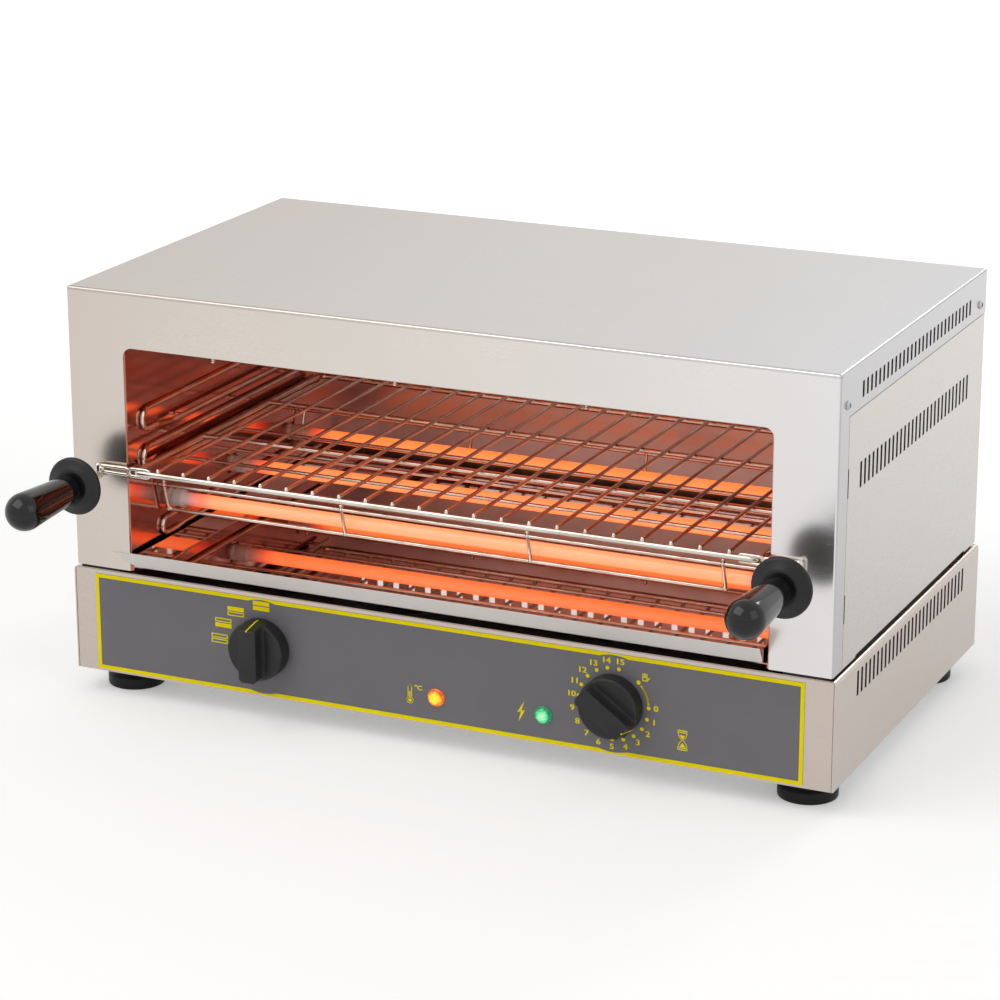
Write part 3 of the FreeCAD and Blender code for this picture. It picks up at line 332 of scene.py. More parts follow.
def lens(name, node, glow, strength):
    """A lamp's lens, moulded with small facets. The glow fades through its colours from the middle out."""
    low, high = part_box(node)
    centre = (low + high) / 2
    made = material(name, shade(glow[2], 0.4), roughness=0.12, coat_weight=0.35, coat_roughness=0.1)
    n = Nodes(made)
    flat = n.vector("MULTIPLY", n.vector("SUBTRACT", n.place(), centre), (1, 0, 1))
    away = n.add("VectorMath", {0: flat}, operation="LENGTH").outputs["Value"]
    facets = n.add("TexVoronoi", {"Vector": n.place(), "Scale": 420.0}, feature="F1").outputs["Distance"]
    share = n.span(away, 0, 1, 0, (high.z - low.z) / 2)
    uneven = n.calc("ADD", share, n.span(facets, -0.15, 0.15, 0, 0.7))
    n.set("Emission Color", n.ramp(uneven, list(zip((0.0, 0.62, 0.9, 1.05), glow))))
    n.shader.inputs["Emission Strength"].default_value = strength
    n.set("Normal", n.bump(facets, 0.0003))
    return made


# Tones of the sheets from the left to the right, and glow colours of the lenses from the middle out.
# The stainless tones are painted light and shade: the front darker to the left and lighter to the right,
# the side panels and the base darker all over.
FRONT_PAINTED_LIGHT_TONES = ((0.6, 0.535, 0.485), (0.655, 0.605, 0.555), (0.7, 0.665, 0.63), (0.75, 0.735, 0.74))
BASE_PAINTED_SHADE_TONES = ((0.56, 0.485, 0.44), (0.57, 0.5, 0.455))
SIDE_PAINTED_SHADE_TONES = ((0.575, 0.54, 0.5), (0.575, 0.54, 0.5))
ZINC_TONES = ((0.5, 0.5, 0.5), (0.5, 0.5, 0.5))
AMBER_GLOW = ((1.0, 0.95, 0.03), (1.0, 0.7, 0.0), (0.9, 0.2, 0.0), (0.5, 0.06, 0.0))
GREEN_GLOW = ((0.6, 1.0, 0.5), (0.15, 0.8, 0.33), (0.01, 0.32, 0.13), (0.0, 0.14, 0.06))
MATERIALS = {
    # The roof at 0.83 and the side flanges at 0.68 are painted shade.
    "stainless": sheet_steel("stainless", 0.25, 0, FRONT_PAINTED_LIGHT_TONES, top=0.83, flank_painted_shade=0.68),
    # The side panels' steel, brushed along the depth, in a darker tone that is painted shade.
    "stainless_side_painted_shade": sheet_steel("stainless_side_painted_shade", 0.27, 1, SIDE_PAINTED_SHADE_TONES),
    # The base's steel in a darker, warmer tone: painted shade, the shadowed floor reflected in it.
    "stainless_base_painted_shade": sheet_steel("stainless_base_painted_shade", 0.27, 0, BASE_PAINTED_SHADE_TONES),
    "zinc": sheet_steel("zinc", 0.4, 0, ZINC_TONES, wear=0.08),
    # The cavity's red-brown colour and tint are painted glow of the tubes reflected on the walls, over real
    # patches of heat tint.
    "cavity_steel": polished_steel("cavity_steel", (0.66, 0.34, 0.29), 0.09, (0.5, 0.23, 0.19)),
    "cavity_back": polished_steel("cavity_back", (0.56, 0.55, 0.56), 0.33, (0.5, 0.44, 0.42)),
    "tray_steel": tray_steel("tray_steel", (0.76, 0.62, 0.57), (0.68, 0.5, 0.45)),
    "wire": wire_steel("wire", (0.68, 0.63, 0.57), (0.5, 0.42, 0.34)),
    "black_plastic": moulded("black_plastic", (0.022, 0.021, 0.023), 0.38),
    "handle_plastic": moulded("handle_plastic", (0.004, 0.004, 0.005), 0.08, grain=0.1, shine=0.4),
    "shield_plastic": moulded("shield_plastic", (0.016, 0.015, 0.017), 0.33, grain=0.4),
    "label": printed_film("label", (0.158, 0.151, 0.164)),
    "spacer": moulded("spacer", (0.01, 0.01, 0.01), 0.6),
    "ceramic": ceramic("ceramic", (0.9, 0.87, 0.8)),
    "rubber": moulded("rubber", (0.01, 0.01, 0.01), 0.45, grain=1.0, shine=0.2),
    "control_body": moulded("control_body", (0.05, 0.05, 0.055), 0.45),
    "block": moulded("block", (0.6, 0.58, 0.52), 0.55),
    "lead": moulded("lead", (0.4, 0.06, 0.04), 0.5),
    "coil": glowing_quartz("coil", 0.3),
    "quartz": glowing_quartz("quartz", 0.243),
    "amber": lens("amber", "amber_lens", AMBER_GLOW, 1.0),
    "green": lens("green", "green_lens", GREEN_GLOW, 0.95),
    "yellow": ink("yellow", (1.0, 0.83, 0.0)),
}
# Nodes whose finish differs from the one that their slot is named after. The side panels and the base
# get darker copies of the stainless, as painted shade.
OWN_FINISH = {
    "side_panel_left": "stainless_side_painted_shade",
    "side_panel_right": "stainless_side_painted_shade",
    "base_front": "stainless_base_painted_shade",
    "base_casing": "stainless_base_painted_shade",
    "liner_back": "cavity_back",
}


def dress_nodes():
    """Gives every node of the construction model its material."""
    slots = {row["node"]: row["material_slot"] for row in frame["record"]["subparts"]}
    for name, node in frame["nodes"].items():
        key = OWN_FINISH.get(name, slots[name])
        node.data.materials.clear()
        node.data.materials.append(MATERIALS[key])


def spokes(axis_side, axis_up, count):
    """Unit vectors all round, in the plane of two axes."""
    angles = [2 * math.pi * j / count for j in range(count)]
    return [axis_side * math.cos(a) + axis_up * math.sin(a) for a in angles]


class Shape:
    """Gathers the faces of one piece."""

    def __init__(self):
        self.points = []
        self.faces = []

    def add(self, points, faces):
        """Adds faces that number the points given with them."""
        first = len(self.points)
        self.points += [tuple(p) for p in points]
        self.faces += [tuple(first + k for k in face) for face in faces]

    def rings(self, rings, closed=False):
        """A skin over rings of equally many points, capped at both ends unless closed."""
        count = len(rings[0])
        total = len(rings)
        points = [p for ring in rings for p in ring]
        faces = []
        for k in range(total if closed else total - 1):
            a, b = k * count, (k + 1) % total * count
            for j in range(count):
                n = (j + 1) % count
                faces.append((a + j, a + n, b + n, b + j))
        if not closed:
            faces.append(tuple(reversed(range(count))))
            faces.append(tuple(range((total - 1) * count, total * count)))
        self.add(points, faces)

    def wire(self, path, radius, closed=False):
        """A round wire along a path of points, with a short round-off at open ends."""
        sides, tip_share, round_off = 14, 0.55, 0.45
        path = [Vector(p) for p in path]
        total = len(path)
        headings = []
        for k in range(total):
            after = path[(k + 1) % total if closed else min(k + 1, total - 1)]
            before = path[k - 1 if closed or k else 0]
            headings.append((after - before).normalized())
        side = headings[0].orthogonal().normalized()
        rings = []
        for k, (point, along) in enumerate(zip(path, headings)):
            side = (side - along * side.dot(along)).normalized()
            ring = spokes(side, along.cross(side), sides)
            if not closed and k in (0, total - 1):
                inward = along if k == 0 else -along
                tip = [point + v * radius * tip_share for v in ring]
                shoulder = [point + inward * radius * round_off + v * radius for v in ring]
                rings += [tip, shoulder] if k == 0 else [shoulder, tip]
            else:
                rings.append([point + v * radius for v in ring])
        if closed:
            rings = self.untwisted(rings)
        self.rings(rings, closed)

    @staticmethod
    def untwisted(rings):
        """Spreads the twist that a closed wire gathers, so that its last ring meets its first."""
        start, last = rings[0][0], len(rings) - 1
        shift = min(range(len(rings[0])), key=lambda j: (rings[-1][j] - start).length)
        steps = [round(shift * k / last) for k in range(len(rings))]
        return [ring[s:] + ring[:s] for ring, s in zip(rings, steps)]

    def turned(self, profile, centre, axis, sides=64):
        """A solid turned about an axis through centre. The profile is (radius, distance along the axis)."""
        centre, axis = Vector(centre), Vector(axis).normalized()
        side = axis.orthogonal().normalized()
        ring = spokes(side, axis.cross(side), sides)
        self.rings([[centre + axis * along + v * radius for v in ring] for radius, along in profile])

    def plate(self, outline, face):
        """A thin plate on the control panel. The outline is (x, z) and its face looks to the front."""
        count = len(outline)
        points = [(x, face - PRINT_DEPTH, z) for x, z in outline] + [(x, face, z) for x, z in outline]
        faces = [tuple(range(count)), tuple(reversed(range(count, 2 * count)))]
        faces += [(k, k + count, (k + 1) % count + count, (k + 1) % count) for k in range(count)]
        self.add(points, faces)

    def build(self, name, finish, body, replaces=(), slot=None, smooth=40):
        """Makes the piece, lets it ride on a body and stand for the nodes that it replaces."""
        mesh = bpy.data.meshes.new(name)
        mesh.from_pydata(self.points, [], self.faces)
        mesh.validate()
        mesh.update()
        piece = bpy.data.objects.new(name, mesh)
        bpy.context.scene.collection.objects.link(piece)
        mesh.materials.append(MATERIALS[finish])
        soften(piece, smooth)
        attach(piece, body)
        if replaces:
            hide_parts(*replaces)


def soften(piece, angle):
    """Turns faces outwards and shades them smoothly, with edges sharper than angle kept sharp."""
    bpy.context.view_layer.objects.active = piece
    for other in bpy.context.selected_objects:
        other.select_set(False)
    piece.select_set(True)
    bpy.ops.object.mode_set(mode="EDIT")
    bpy.ops.mesh.select_all(action="SELECT")
    bpy.ops.mesh.normals_make_consistent(inside=False)
    bpy.ops.object.mode_set(mode="OBJECT")
    bpy.ops.object.shade_smooth_by_angle(angle=math.radians(angle))
    piece.select_set(False)


def rounded(corners, bend, closed=False):
    """Points along straight runs joined by arcs of a bend radius."""
    steps = 7
    corners = [Vector(c) for c in corners]
    total = len(corners)
    path = []
    for k, corner in enumerate(corners):
        if not closed and k in (0, total - 1):
            path.append(corner)
            continue
        before, after = corners[k - 1], corners[(k + 1) % total]
        into, out = (corner - before).normalized(), (after - corner).normalized()
        turn = into.angle(out)
        setback = min(bend * math.tan(turn / 2), (corner - before).length / 2, (after - corner).length / 2)
        radius = setback / math.tan(turn / 2)
        centre = corner + (out - into).normalized() * (radius / math.cos(turn / 2))
        first, last = corner - into * setback - centre, corner + out * setback - centre
        for j in range(steps + 1):
            share = turn * j / steps
            path.append(centre + (first * math.sin(turn - share) + last * math.sin(share)) / math.sin(turn))
    return path


def stadium(first, last, y, z, radius):
    """Points round an upright loop: two straight runs joined by half circles about first and last."""
    steps = 10
    turn = math.copysign(1, last - first)
    path = []
    for centre, start in ((last, 0), (first, math.pi)):
        for k in range(steps + 1):
            angle = start + math.pi * k / steps
            path.append((centre + turn * radius * math.sin(angle), y, z + radius * math.cos(angle)))
    return path


def behind_front(distance):
    """The y of a place this far behind the body's front face."""
    return FRONT + distance


def weld_bead(shape, centre, radius):
    """A small blob of melted wire where two wires are welded together."""
    steps, flatness, least = 6, 0.8, 0.02 * MM
    arc = [math.pi * k / steps for k in range(steps + 1)]
    profile = [(max(radius * math.sin(a), least), -radius * flatness * math.cos(a)) for a in arc]
    shape.turned(profile, centre, (0, 0, 1), 12)


def make_rack():
    """The rack's frame, its rods with welded tips, and two braces under them."""
    corner_bend, brace_sink = 7 * MM, 0.4 * MM
    overhang = RAIL_RADIUS * 0.6
    bead, bead_drop = ROD_RADIUS * 1.25, ROD_RADIUS * 0.6
    shape = Shape()
    low_x, high_x = RACK_LOW.x + RAIL_RADIUS, RACK_HIGH.x - RAIL_RADIUS
    low_y, high_y = RACK_LOW.y + RAIL_RADIUS, RACK_HIGH.y - RAIL_RADIUS
    z = RACK_LOW.z + RAIL_RADIUS
    corners = [(low_x, low_y, z), (high_x, low_y, z), (high_x, high_y, z), (low_x, high_y, z)]
    shape.wire(rounded(corners, corner_bend, closed=True), RAIL_RADIUS, closed=True)
    top = RACK_HIGH.z - ROD_RADIUS
    pitch = (high_x - low_x) / (ROD_COUNT + 1)
    for k in range(ROD_COUNT):
        x = low_x + pitch * (k + 1)
        shape.wire([(x, low_y - overhang, top), (x, high_y + overhang, top)], ROD_RADIUS)
        for y in (low_y, high_y):
            weld_bead(shape, (x, y, top - bead_drop), bead)
    under = top - ROD_RADIUS - BRACE_RADIUS + brace_sink
    for distance in BRACES:
        y = behind_front(distance)
        shape.wire([(low_x, y, under), (high_x, y, under)], BRACE_RADIUS)
    shape.build("rack_wires", "wire", "rack", ["wire_rack"], "wire")


def make_links():
    """The looped wires, the upright pins and the spindles that carry the handles."""
    link_radius, pin_radius, spindle_radius = 1.5 * MM, 3.2 * MM, 3 * MM
    shape = Shape()
    low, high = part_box("handle_links")
    grips_low, grips_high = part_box("handle_grips")
    shields_low, shields_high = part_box("handle_shields")
    y = RACK_LOW.y + RAIL_RADIUS
    rail_z = RACK_LOW.z + RAIL_RADIUS
    spindle_z = (grips_low.z + grips_high.z) / 2
    reach = (shields_high.x - shields_low.x) / 2 - SHIELD_RADIUS
    middle = RACK_HIGH.x + 1 * MM
    # Each loop's inner and outer end, and half its height.
    loops = ((middle, reach, 2.4 * MM), (RACK_HIGH.x - 18 * MM, middle, 3 * MM))
    for side in (-1, 1):
        for inner, outer, gap in loops:
            loop = stadium(side * (inner + gap), side * (outer - gap), y, rail_z, gap)
            shape.wire(loop, link_radius, closed=True)
        shape.wire([(side * reach, y, low.z), (side * reach, y, high.z)], pin_radius)
        shape.wire([(side * reach, y, spindle_z), (side * reach, low.y, spindle_z)], spindle_radius)
        weld_bead(shape, (side * (reach - 2.5 * MM), y, rail_z), 3 * MM)
    shape.build("rack_links", "wire", "rack", ["handle_links"], "wire")


def make_handles():
    """Glossy grips that swell to a round end, and satin shields behind them."""
    low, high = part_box("handle_grips")
    shield_low, shield_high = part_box("handle_shields")
    z = (low.z + high.z) / 2
    radius = (high.z - low.z) / 2
    reach = (high.x - low.x) / 2 - radius
    length = high.y - low.y
    neck, neck_end, swell = 11.4 * MM, 6 * MM, 3.6 * MM
    arc = [math.pi / 2 * k / 12 for k in range(13)]
    grip = [(8 * MM, 0), (9.5 * MM, 0.5 * MM), (11 * MM, 2 * MM), (neck, neck_end)]
    grip += [(neck + swell * t, neck_end + (length - radius - neck_end) * t) for t in (0.25, 0.5, 0.75)]
    grip += [(max(radius * math.cos(a), 0.05 * MM), length - radius + radius * math.sin(a)) for a in arc]
    deep = shield_high.y - shield_low.y
    rim = (shield_high.z - shield_low.z) / 2
    hole, recess = 3.4 * MM, 1.2 * MM
    shield = [(hole, 0), (rim - 2.5 * MM, 0), (rim - 0.8 * MM, 0.4 * MM), (rim, 1.4 * MM), (rim, 3 * MM)]
    shield += [(rim - 0.7 * MM, 4 * MM), (rim - 2 * MM, 4.6 * MM), (15.5 * MM, deep - 1 * MM)]
    shield += [(14 * MM, deep), (12.6 * MM, deep), (12.4 * MM, deep - recess), (hole, deep - recess)]
    grips, shields = Shape(), Shape()
    for side in (-1, 1):
        grips.turned(grip, (side * reach, high.y, z), (0, -1, 0))
        shields.turned(shield, (side * reach, shield_high.y, z), (0, -1, 0))
    grips.build("grips_moulded", "handle_plastic", "rack", ["handle_grips"], "handle_plastic", 50)
    shields.build("shields_moulded", "shield_plastic", "rack", ["handle_shields"], "handle_plastic", 35)


def make_runners():
    """Looped wires along the cavity's walls: two on each side for the rack and one for the crumb tray."""
    level_pitch, play, tray_side, tray_lift = 31.5 * MM, 0.3 * MM, 10 * MM, 3 * MM
    step_start, step_run, tie_gap, last_tie = 22 * MM, 16 * MM, 16 * MM, 306 * MM
    rail_z = RACK_LOW.z + RAIL_RADIUS
    low = rail_z - RAIL_RADIUS - play - RUNNER_RADIUS
    rail_x = RACK_HIGH.x - RAIL_RADIUS
    back = behind_front(322 * MM)
    # Each loop's height, the gap between its wires, where it starts and how far from the middle it steps.
    loops = [(low + level_pitch * k, 16.8 * MM, 21 * MM, rail_x) for k in (0, 1)]
    loops.append((TRAY_LOW.z + tray_side + tray_lift, 13 * MM, 47 * MM, TRAY_HIGH.x - RUNNER_RADIUS))
    for word, side in (("left", -1), ("right", 1)):
        shape = Shape()
        wall = side * (WALL - RUNNER_RADIUS)
        for z, gap, start, reach in loops:
            front, inner = behind_front(start), side * reach
            straight = start + step_start
            stepped = straight + step_run
            corners = [(wall, back, z + gap), (wall, front, z + gap), (wall, front, z)]
            corners += [(wall, behind_front(straight), z), (inner, behind_front(stepped), z)]
            corners.append((inner, back, z))
            shape.wire(rounded(corners, gap / 2 - 0.05 * MM), RUNNER_RADIUS)
            for distance in (stepped + tie_gap, last_tie):
                y = behind_front(distance)
                shape.wire([(inner, y, z), (side * WALL, y, z)], RUNNER_RADIUS * 0.8)
        shape.build("loops_" + word, "wire", "root", ["rack_runner_" + word], "wire")


def make_guards():
    """The bent wires beside the outer tubes, and the plain rods between them."""
    radius = GUARD_RADIUS
    basket_bend, tip_rise = 4 * MM, 3.2 * MM
    for row, up in (("lower", 1), ("upper", -1)):
        for word, away in (("front", 1), ("rear", -1)):
            node = "%s_guard_%s" % (row, word)
            low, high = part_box(node)
            outer_y, inner_y = (low.y, high.y) if away > 0 else (high.y, low.y)
            far_z, near_z = (high.z, low.z) if up > 0 else (low.z, high.z)
            top = (outer_y + away * radius, far_z - up * radius)
            base = (inner_y - away * radius, near_z + up * radius)
            posts = [up * (POST_PITCH * k - POST_START) for k in range(4)]
            shape = Shape()
            shape.wire([(low.x, *top), (high.x, *top)], radius)
            basket = [(posts[0], *top), (posts[0], *base), (posts[3], *base), (posts[3], *top)]
            shape.wire(rounded(basket, basket_bend), radius)
            for x in posts:
                tip = (x, top[0], top[1] + up * tip_rise)
                shape.wire([tip, (x, *top), (x, *base)], radius * 0.95)
                weld_bead(shape, tip, radius * 1.35)
                weld_bead(shape, (x, *top), radius * 1.5)
                weld_bead(shape, (x, *base), radius * 1.5)
            shape.build(node + "_wires", "wire", "root", [node], "wire")
        node = row + "_guard_rods"
        low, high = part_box(node)
        tube_low, tube_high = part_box(row + "_tube_middle")
        z = (low.z + high.z) / 2
        shape = Shape()
        for y in (low.y + radius, (tube_low.y + tube_high.y) / 2, high.y - radius):
            shape.wire([(low.x, y, z), (high.x, y, z)], radius)
        shape.build(node + "_round", "wire", "root", [node], "wire")


def make_tubes():
    """Quartz tubes that glow, between ceramic caps with one groove each."""
    cap_start = WALL - 14 * MM
    cap_length, groove, groove_start = 30 * MM, 1 * MM, 9 * MM
    for row in ("lower", "upper"):
        caps = Shape()
        cap_low, cap_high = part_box(row + "_caps")
        outer = (cap_high.z - cap_low.z) / 2
        for word in ("front", "middle", "rear"):
            node = "%s_tube_%s" % (row, word)
            low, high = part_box(node)
            centre = (low + high) / 2
            radius = (high.z - low.z) / 2
            shape = Shape()
            shape.turned([(radius, low.x - centre.x), (radius, high.x - centre.x)], centre, (1, 0, 0), 32)
            shape.build(node + "_round", "quartz", "root", [node], "quartz")
            profile = [(radius + 0.2 * MM, 0), (outer - 0.8 * MM, 0), (outer, 0.8 * MM)]
            profile += [(outer, groove_start), (outer - groove, groove_start + 1 * MM)]
            profile += [(outer - groove, 12 * MM), (outer, 13 * MM)]
            profile += [(outer, 29 * MM), (outer - 1 * MM, cap_length), (1 * MM, cap_length)]
            for side in (-1, 1):
                caps.turned(profile, (side * cap_start, centre.y, centre.z), (side, 0, 0), 40)
        caps.build(row + "_caps_ribbed", "ceramic", "root", [row + "_caps"], "ceramic")


def make_knob(name, node, body, angle):
    """A moulded knob: a round skirt with a wide finger bar across it, and a yellow line on the bar's end."""
    low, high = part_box(node)
    centre = Vector(((low.x + high.x) / 2, high.y, (low.z + high.z) / 2))
    turn = Matrix.Rotation(math.radians(angle), 3, "Y")
    rim, tall = KNOB_RADIUS, high.y - low.y
    shape = Shape()
    skirt = [(1 * MM, 0), (rim - 0.6 * MM, 0), (rim, 0.6 * MM), (rim, 11 * MM), (rim - 0.3 * MM, 12 * MM)]
    skirt += [(rim - 1.1 * MM, 12.7 * MM), (rim - 2.2 * MM, 12.9 * MM), (1 * MM, 12.3 * MM)]
    shape.turned(skirt, centre, (0, -1, 0), 96)
    slope_start, slope_run, tail_length = 9 * MM, 2.8 * MM, 22 * MM
    cut, bend, edge = 2.4 * MM, 1.6 * MM, 0.5 * MM
    # Half the finger bar's width at each distance from the panel, in millimetres.
    bar = [(11.5, 9.8), (13, 8.9), (14.2, 8.1), (16, 7.5), (19, 7.2)]
    bar += [(22, 7.3), (24.3, 7.75), (24.8, 7.6), (25, 7.1)]
    rings = []
    for depth, half in bar:
        depth, half = depth * MM, half * MM
        trim = max(0.0, depth - tall + edge)
        point = rim - slope_run * (depth - slope_start) / (tall - slope_start) - trim
        tail = trim - tail_length
        corners = [(-half, 0, tail + cut), (-half + cut, 0, tail), (half - cut, 0, tail)]
        corners += [(half, 0, tail + cut), (half, 0, point), (-half, 0, point)]
        outline = rounded(corners, bend, closed=True)
        rings.append([centre + turn @ Vector((p.x, -depth, p.z)) for p in outline])
    shape.rings(rings)
    shape.build(name, "black_plastic", body, [node], "black_plastic", 32)
    # The line's places on the bar's end, as distances from the panel and from the knob's middle.
    places = ((25.1, 20.6), (24.9, 21.5), (13.1, 23.55), (11, 24.15), (5.5, 24.15))
    half_line = 0.55 * MM
    outline = []
    for across in (-half_line, half_line):
        for depth, out in places:
            outline.append(centre + turn @ Vector((across, -depth * MM, out * MM)))
    count = len(places)
    line = Shape()
    line.add(outline, [(k, k + 1, k + count + 1, k + count) for k in range(count - 1)])
    line.build(name + "_line", "yellow", body, slot="black_plastic")


def make_lens(name, node):
    """A domed lens with a flange of the same plastic."""
    low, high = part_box(node)
    centre = Vector(((low.x + high.x) / 2, high.y, (low.z + high.z) / 2))
    rim, rise = (high.z - low.z) / 2, high.y - low.y
    finish = name.split("_")[0]
    arc = [math.pi / 2 * k / 10 for k in range(11)]
    flange = rim + 0.6 * MM
    dome = [(flange, 0), (flange, 0.7 * MM), (flange - 0.4 * MM, 1.1 * MM), (rim * 0.96, 1.2 * MM)]
    dome += [(max(rim * 0.95 * math.cos(a), 0.05 * MM), rise * (0.32 + 0.68 * math.sin(a))) for a in arc]
    shape = Shape()
    shape.turned(dome, centre, (0, -1, 0), 48)
    shape.build(name, finish, "root", [node], finish)


def make_feet():
    """Turned rubber feet with a narrower neck."""
    low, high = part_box("feet")
    radius, neck, height = FOOT_RADIUS, 19 * MM, high.z - low.z
    profile = [(1 * MM, 0), (radius - 1.5 * MM, 0), (radius - 0.4 * MM, 0.4 * MM), (radius, 1.5 * MM)]
    profile += [(radius, height * 0.42), (radius - 0.6 * MM, height * 0.47), (19.6 * MM, height * 0.53)]
    profile += [(neck, height * 0.6), (neck, height - 0.6 * MM), (18.4 * MM, height), (1 * MM, height)]
    shape = Shape()
    for x in (low.x + radius, high.x - radius):
        for y in (low.y + radius, high.y - radius):
            shape.turned(profile, (x, y, low.z), (0, 0, 1))
    shape.build("feet_moulded", "rubber", "root", ["feet"], "rubber", 50)


def screw_places():
    """The place and the direction of each screw's head, by node."""
    low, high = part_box("cover_screws")
    z = (low.z + high.z) / 2
    sides = []
    for side, x in ((-1, low.x + SCREW_RISE), (1, high.x - SCREW_RISE)):
        for y in (low.y + SCREW_RADIUS, high.y - SCREW_RADIUS):
            sides.append((Vector((x, y, z)), Vector((side, 0, 0))))
    low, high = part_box("rear_screws")
    back = []
    for x in (low.x + SCREW_RADIUS, high.x - SCREW_RADIUS):
        for z in (low.z + SCREW_RADIUS, high.z - SCREW_RADIUS):
            back.append((Vector((x, high.y - SCREW_RISE, z)), Vector((0, 1, 0))))
    return {"cover_screws": sides, "rear_screws": back}


def make_screws():
    """Pan heads at the places of the construction model's screws. Their cross recess is a painted shade: two
    black plates on each head.
    """
    head = SCREW_RADIUS
    profile = [(head * 0.5, -3 * MM), (head, 0), (head, 0.5 * MM), (head * 0.85, 1.3 * MM)]
    profile += [(head * 0.5, 1.85 * MM), (0.2 * MM, SCREW_RISE)]
    cross_reach, cross_half, cross_level = 2.1 * MM, 0.35 * MM, 2.03 * MM
    square = ((-1, -1), (1, -1), (1, 1), (-1, 1))
    for node, places in screw_places().items():
        heads, cross = Shape(), Shape()
        for seat, out in places:
            heads.turned(profile, seat, out, 32)
            top = seat + out * cross_level
            across = out.orthogonal().normalized()
            other = out.cross(across)
            # Painted shade: the cross recess is two flat black plates laid on the head.
            for a, b in ((across, other), (other, across)):
                corners = [top + a * s * cross_reach + b * t * cross_half for s, t in square]
                cross.add(corners, [(0, 1, 2, 3)])
        heads.build(node + "_round", "zinc", "root", [node], "zinc")
        cross.build(node + "_recess_painted_shade", "spacer", "root", slot="zinc")


def disc(x, z, radius):
    """The outline of a round dot."""
    sides = 20
    angles = [2 * math.pi * k / sides for k in range(sides)]
    return [(x + radius * math.cos(a), z + radius * math.sin(a)) for a in angles]


def box_outline(x, z, width, height):
    """The outline of a filled rectangle about (x, z)."""
    left, right = x - width / 2, x + width / 2
    low, high = z - height / 2, z + height / 2
    return [(left, low), (right, low), (right, high), (left, high)]


def frame_lines(shape, x, z, width, height, line, face):
    """The outline of a rectangle, as four strips."""
    for sign in (-1, 1):
        shape.plate(box_outline(x, z + sign * (height - line) / 2, width, line), face)
        shape.plate(box_outline(x + sign * (width - line) / 2, z, line, height - 2 * line), face)


def bars_icon(shape, x, z, upper, lower, face):
    """Two stacked bars that show which row of tubes is on."""
    width, height, line, offset = 14.5 * MM, 3.4 * MM, 0.85 * MM, 2.1 * MM
    for sign, filled in ((1, upper), (-1, lower)):
        level = z + sign * offset
        if filled:
            shape.plate(box_outline(x, level, width, height), face)
        else:
            frame_lines(shape, x, level, width, height, line, face)


def figures(shape, text, x, z, size, face):
    """Plain figures from the built-in font, laid on the panel three times to thicken their strokes."""
    curve = bpy.data.curves.new("figures", "FONT")
    curve.body = text
    curve.size = size
    curve.align_x = "CENTER"
    curve.align_y = "CENTER"
    curve.offset = size * 0.012
    holder = bpy.data.objects.new("figures", curve)
    mesh = bpy.data.meshes.new_from_object(holder)
    for shift, lift in ((-0.16 * MM, 0.08 * MM), (0, 0.09 * MM), (0.16 * MM, 0.1 * MM)):
        points = [(x + shift + v.co.x * FIGURE_STRETCH, face - lift, z + v.co.y) for v in mesh.vertices]
        shape.add(points, [tuple(p.vertices) for p in mesh.polygons])
    bpy.data.objects.remove(holder)
    bpy.data.curves.remove(curve)
    bpy.data.meshes.remove(mesh)


def polar(centre, radius, degrees):
    """A place on the dial, with the angle clockwise from the top."""
    angle = math.radians(degrees)
    return centre[0] + radius * math.sin(angle), centre[1] + radius * math.cos(angle)


def border(shape, dials, field, line, face):
    """The label's border. Its long sides give way to the round grey field about each dial."""
    low, high = LABEL_LOW, LABEL_HIGH
    half_steps = 6
    for x in (low.x + line / 2, high.x - line / 2):
        shape.plate(box_outline(x, (low.z + high.z) / 2, line, high.z - low.z), face)
    for edge, way in ((low.z, -1), (high.z, 1)):
        inner = edge - way * line
        outline = [(high.x - line, edge), (low.x + line, edge), (low.x + line, inner)]
        for centre_x, centre_z in dials:
            half = math.sqrt(field ** 2 - (inner - centre_z) ** 2)
            for k in range(2 * half_steps + 1):
                across = half * (k / half_steps - 1)
                outline.append((centre_x + across, centre_z + way * math.sqrt(field ** 2 - across ** 2)))
        outline.append((high.x - line, inner))
        shape.plate(outline, face)


def stroke(shape, path, line, face, closed=False):
    """A printed line of an even width along a path of (x, z)."""
    pairs = list(zip(path, path[1:] + path[:1])) if closed else list(zip(path, path[1:]))
    for (x0, z0), (x1, z1) in pairs:
        length = math.hypot(x1 - x0, z1 - z0)
        u, w = (x1 - x0) / length * line / 2, (z1 - z0) / length * line / 2
        start, end = (x0 - u * 0.5, z0 - w * 0.5), (x1 + u * 0.5, z1 + w * 0.5)
        corners = [(start[0] - w, start[1] + u), (end[0] - w, end[1] + u)]
        corners += [(end[0] + w, end[1] - u), (start[0] + w, start[1] - u)]
        shape.plate(corners, face)


def arc_points(x, z, radius, start, end, steps=10):
    """Points along an arc, with angles in degrees clockwise from the top."""
    return [polar((x, z), radius, start + (end - start) * k / steps) for k in range(steps + 1)]


def knob_centre(node):
    """The x and z of a knob's middle."""
    low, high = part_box(node)
    return (low.x + high.x) / 2, (low.z + high.z) / 2


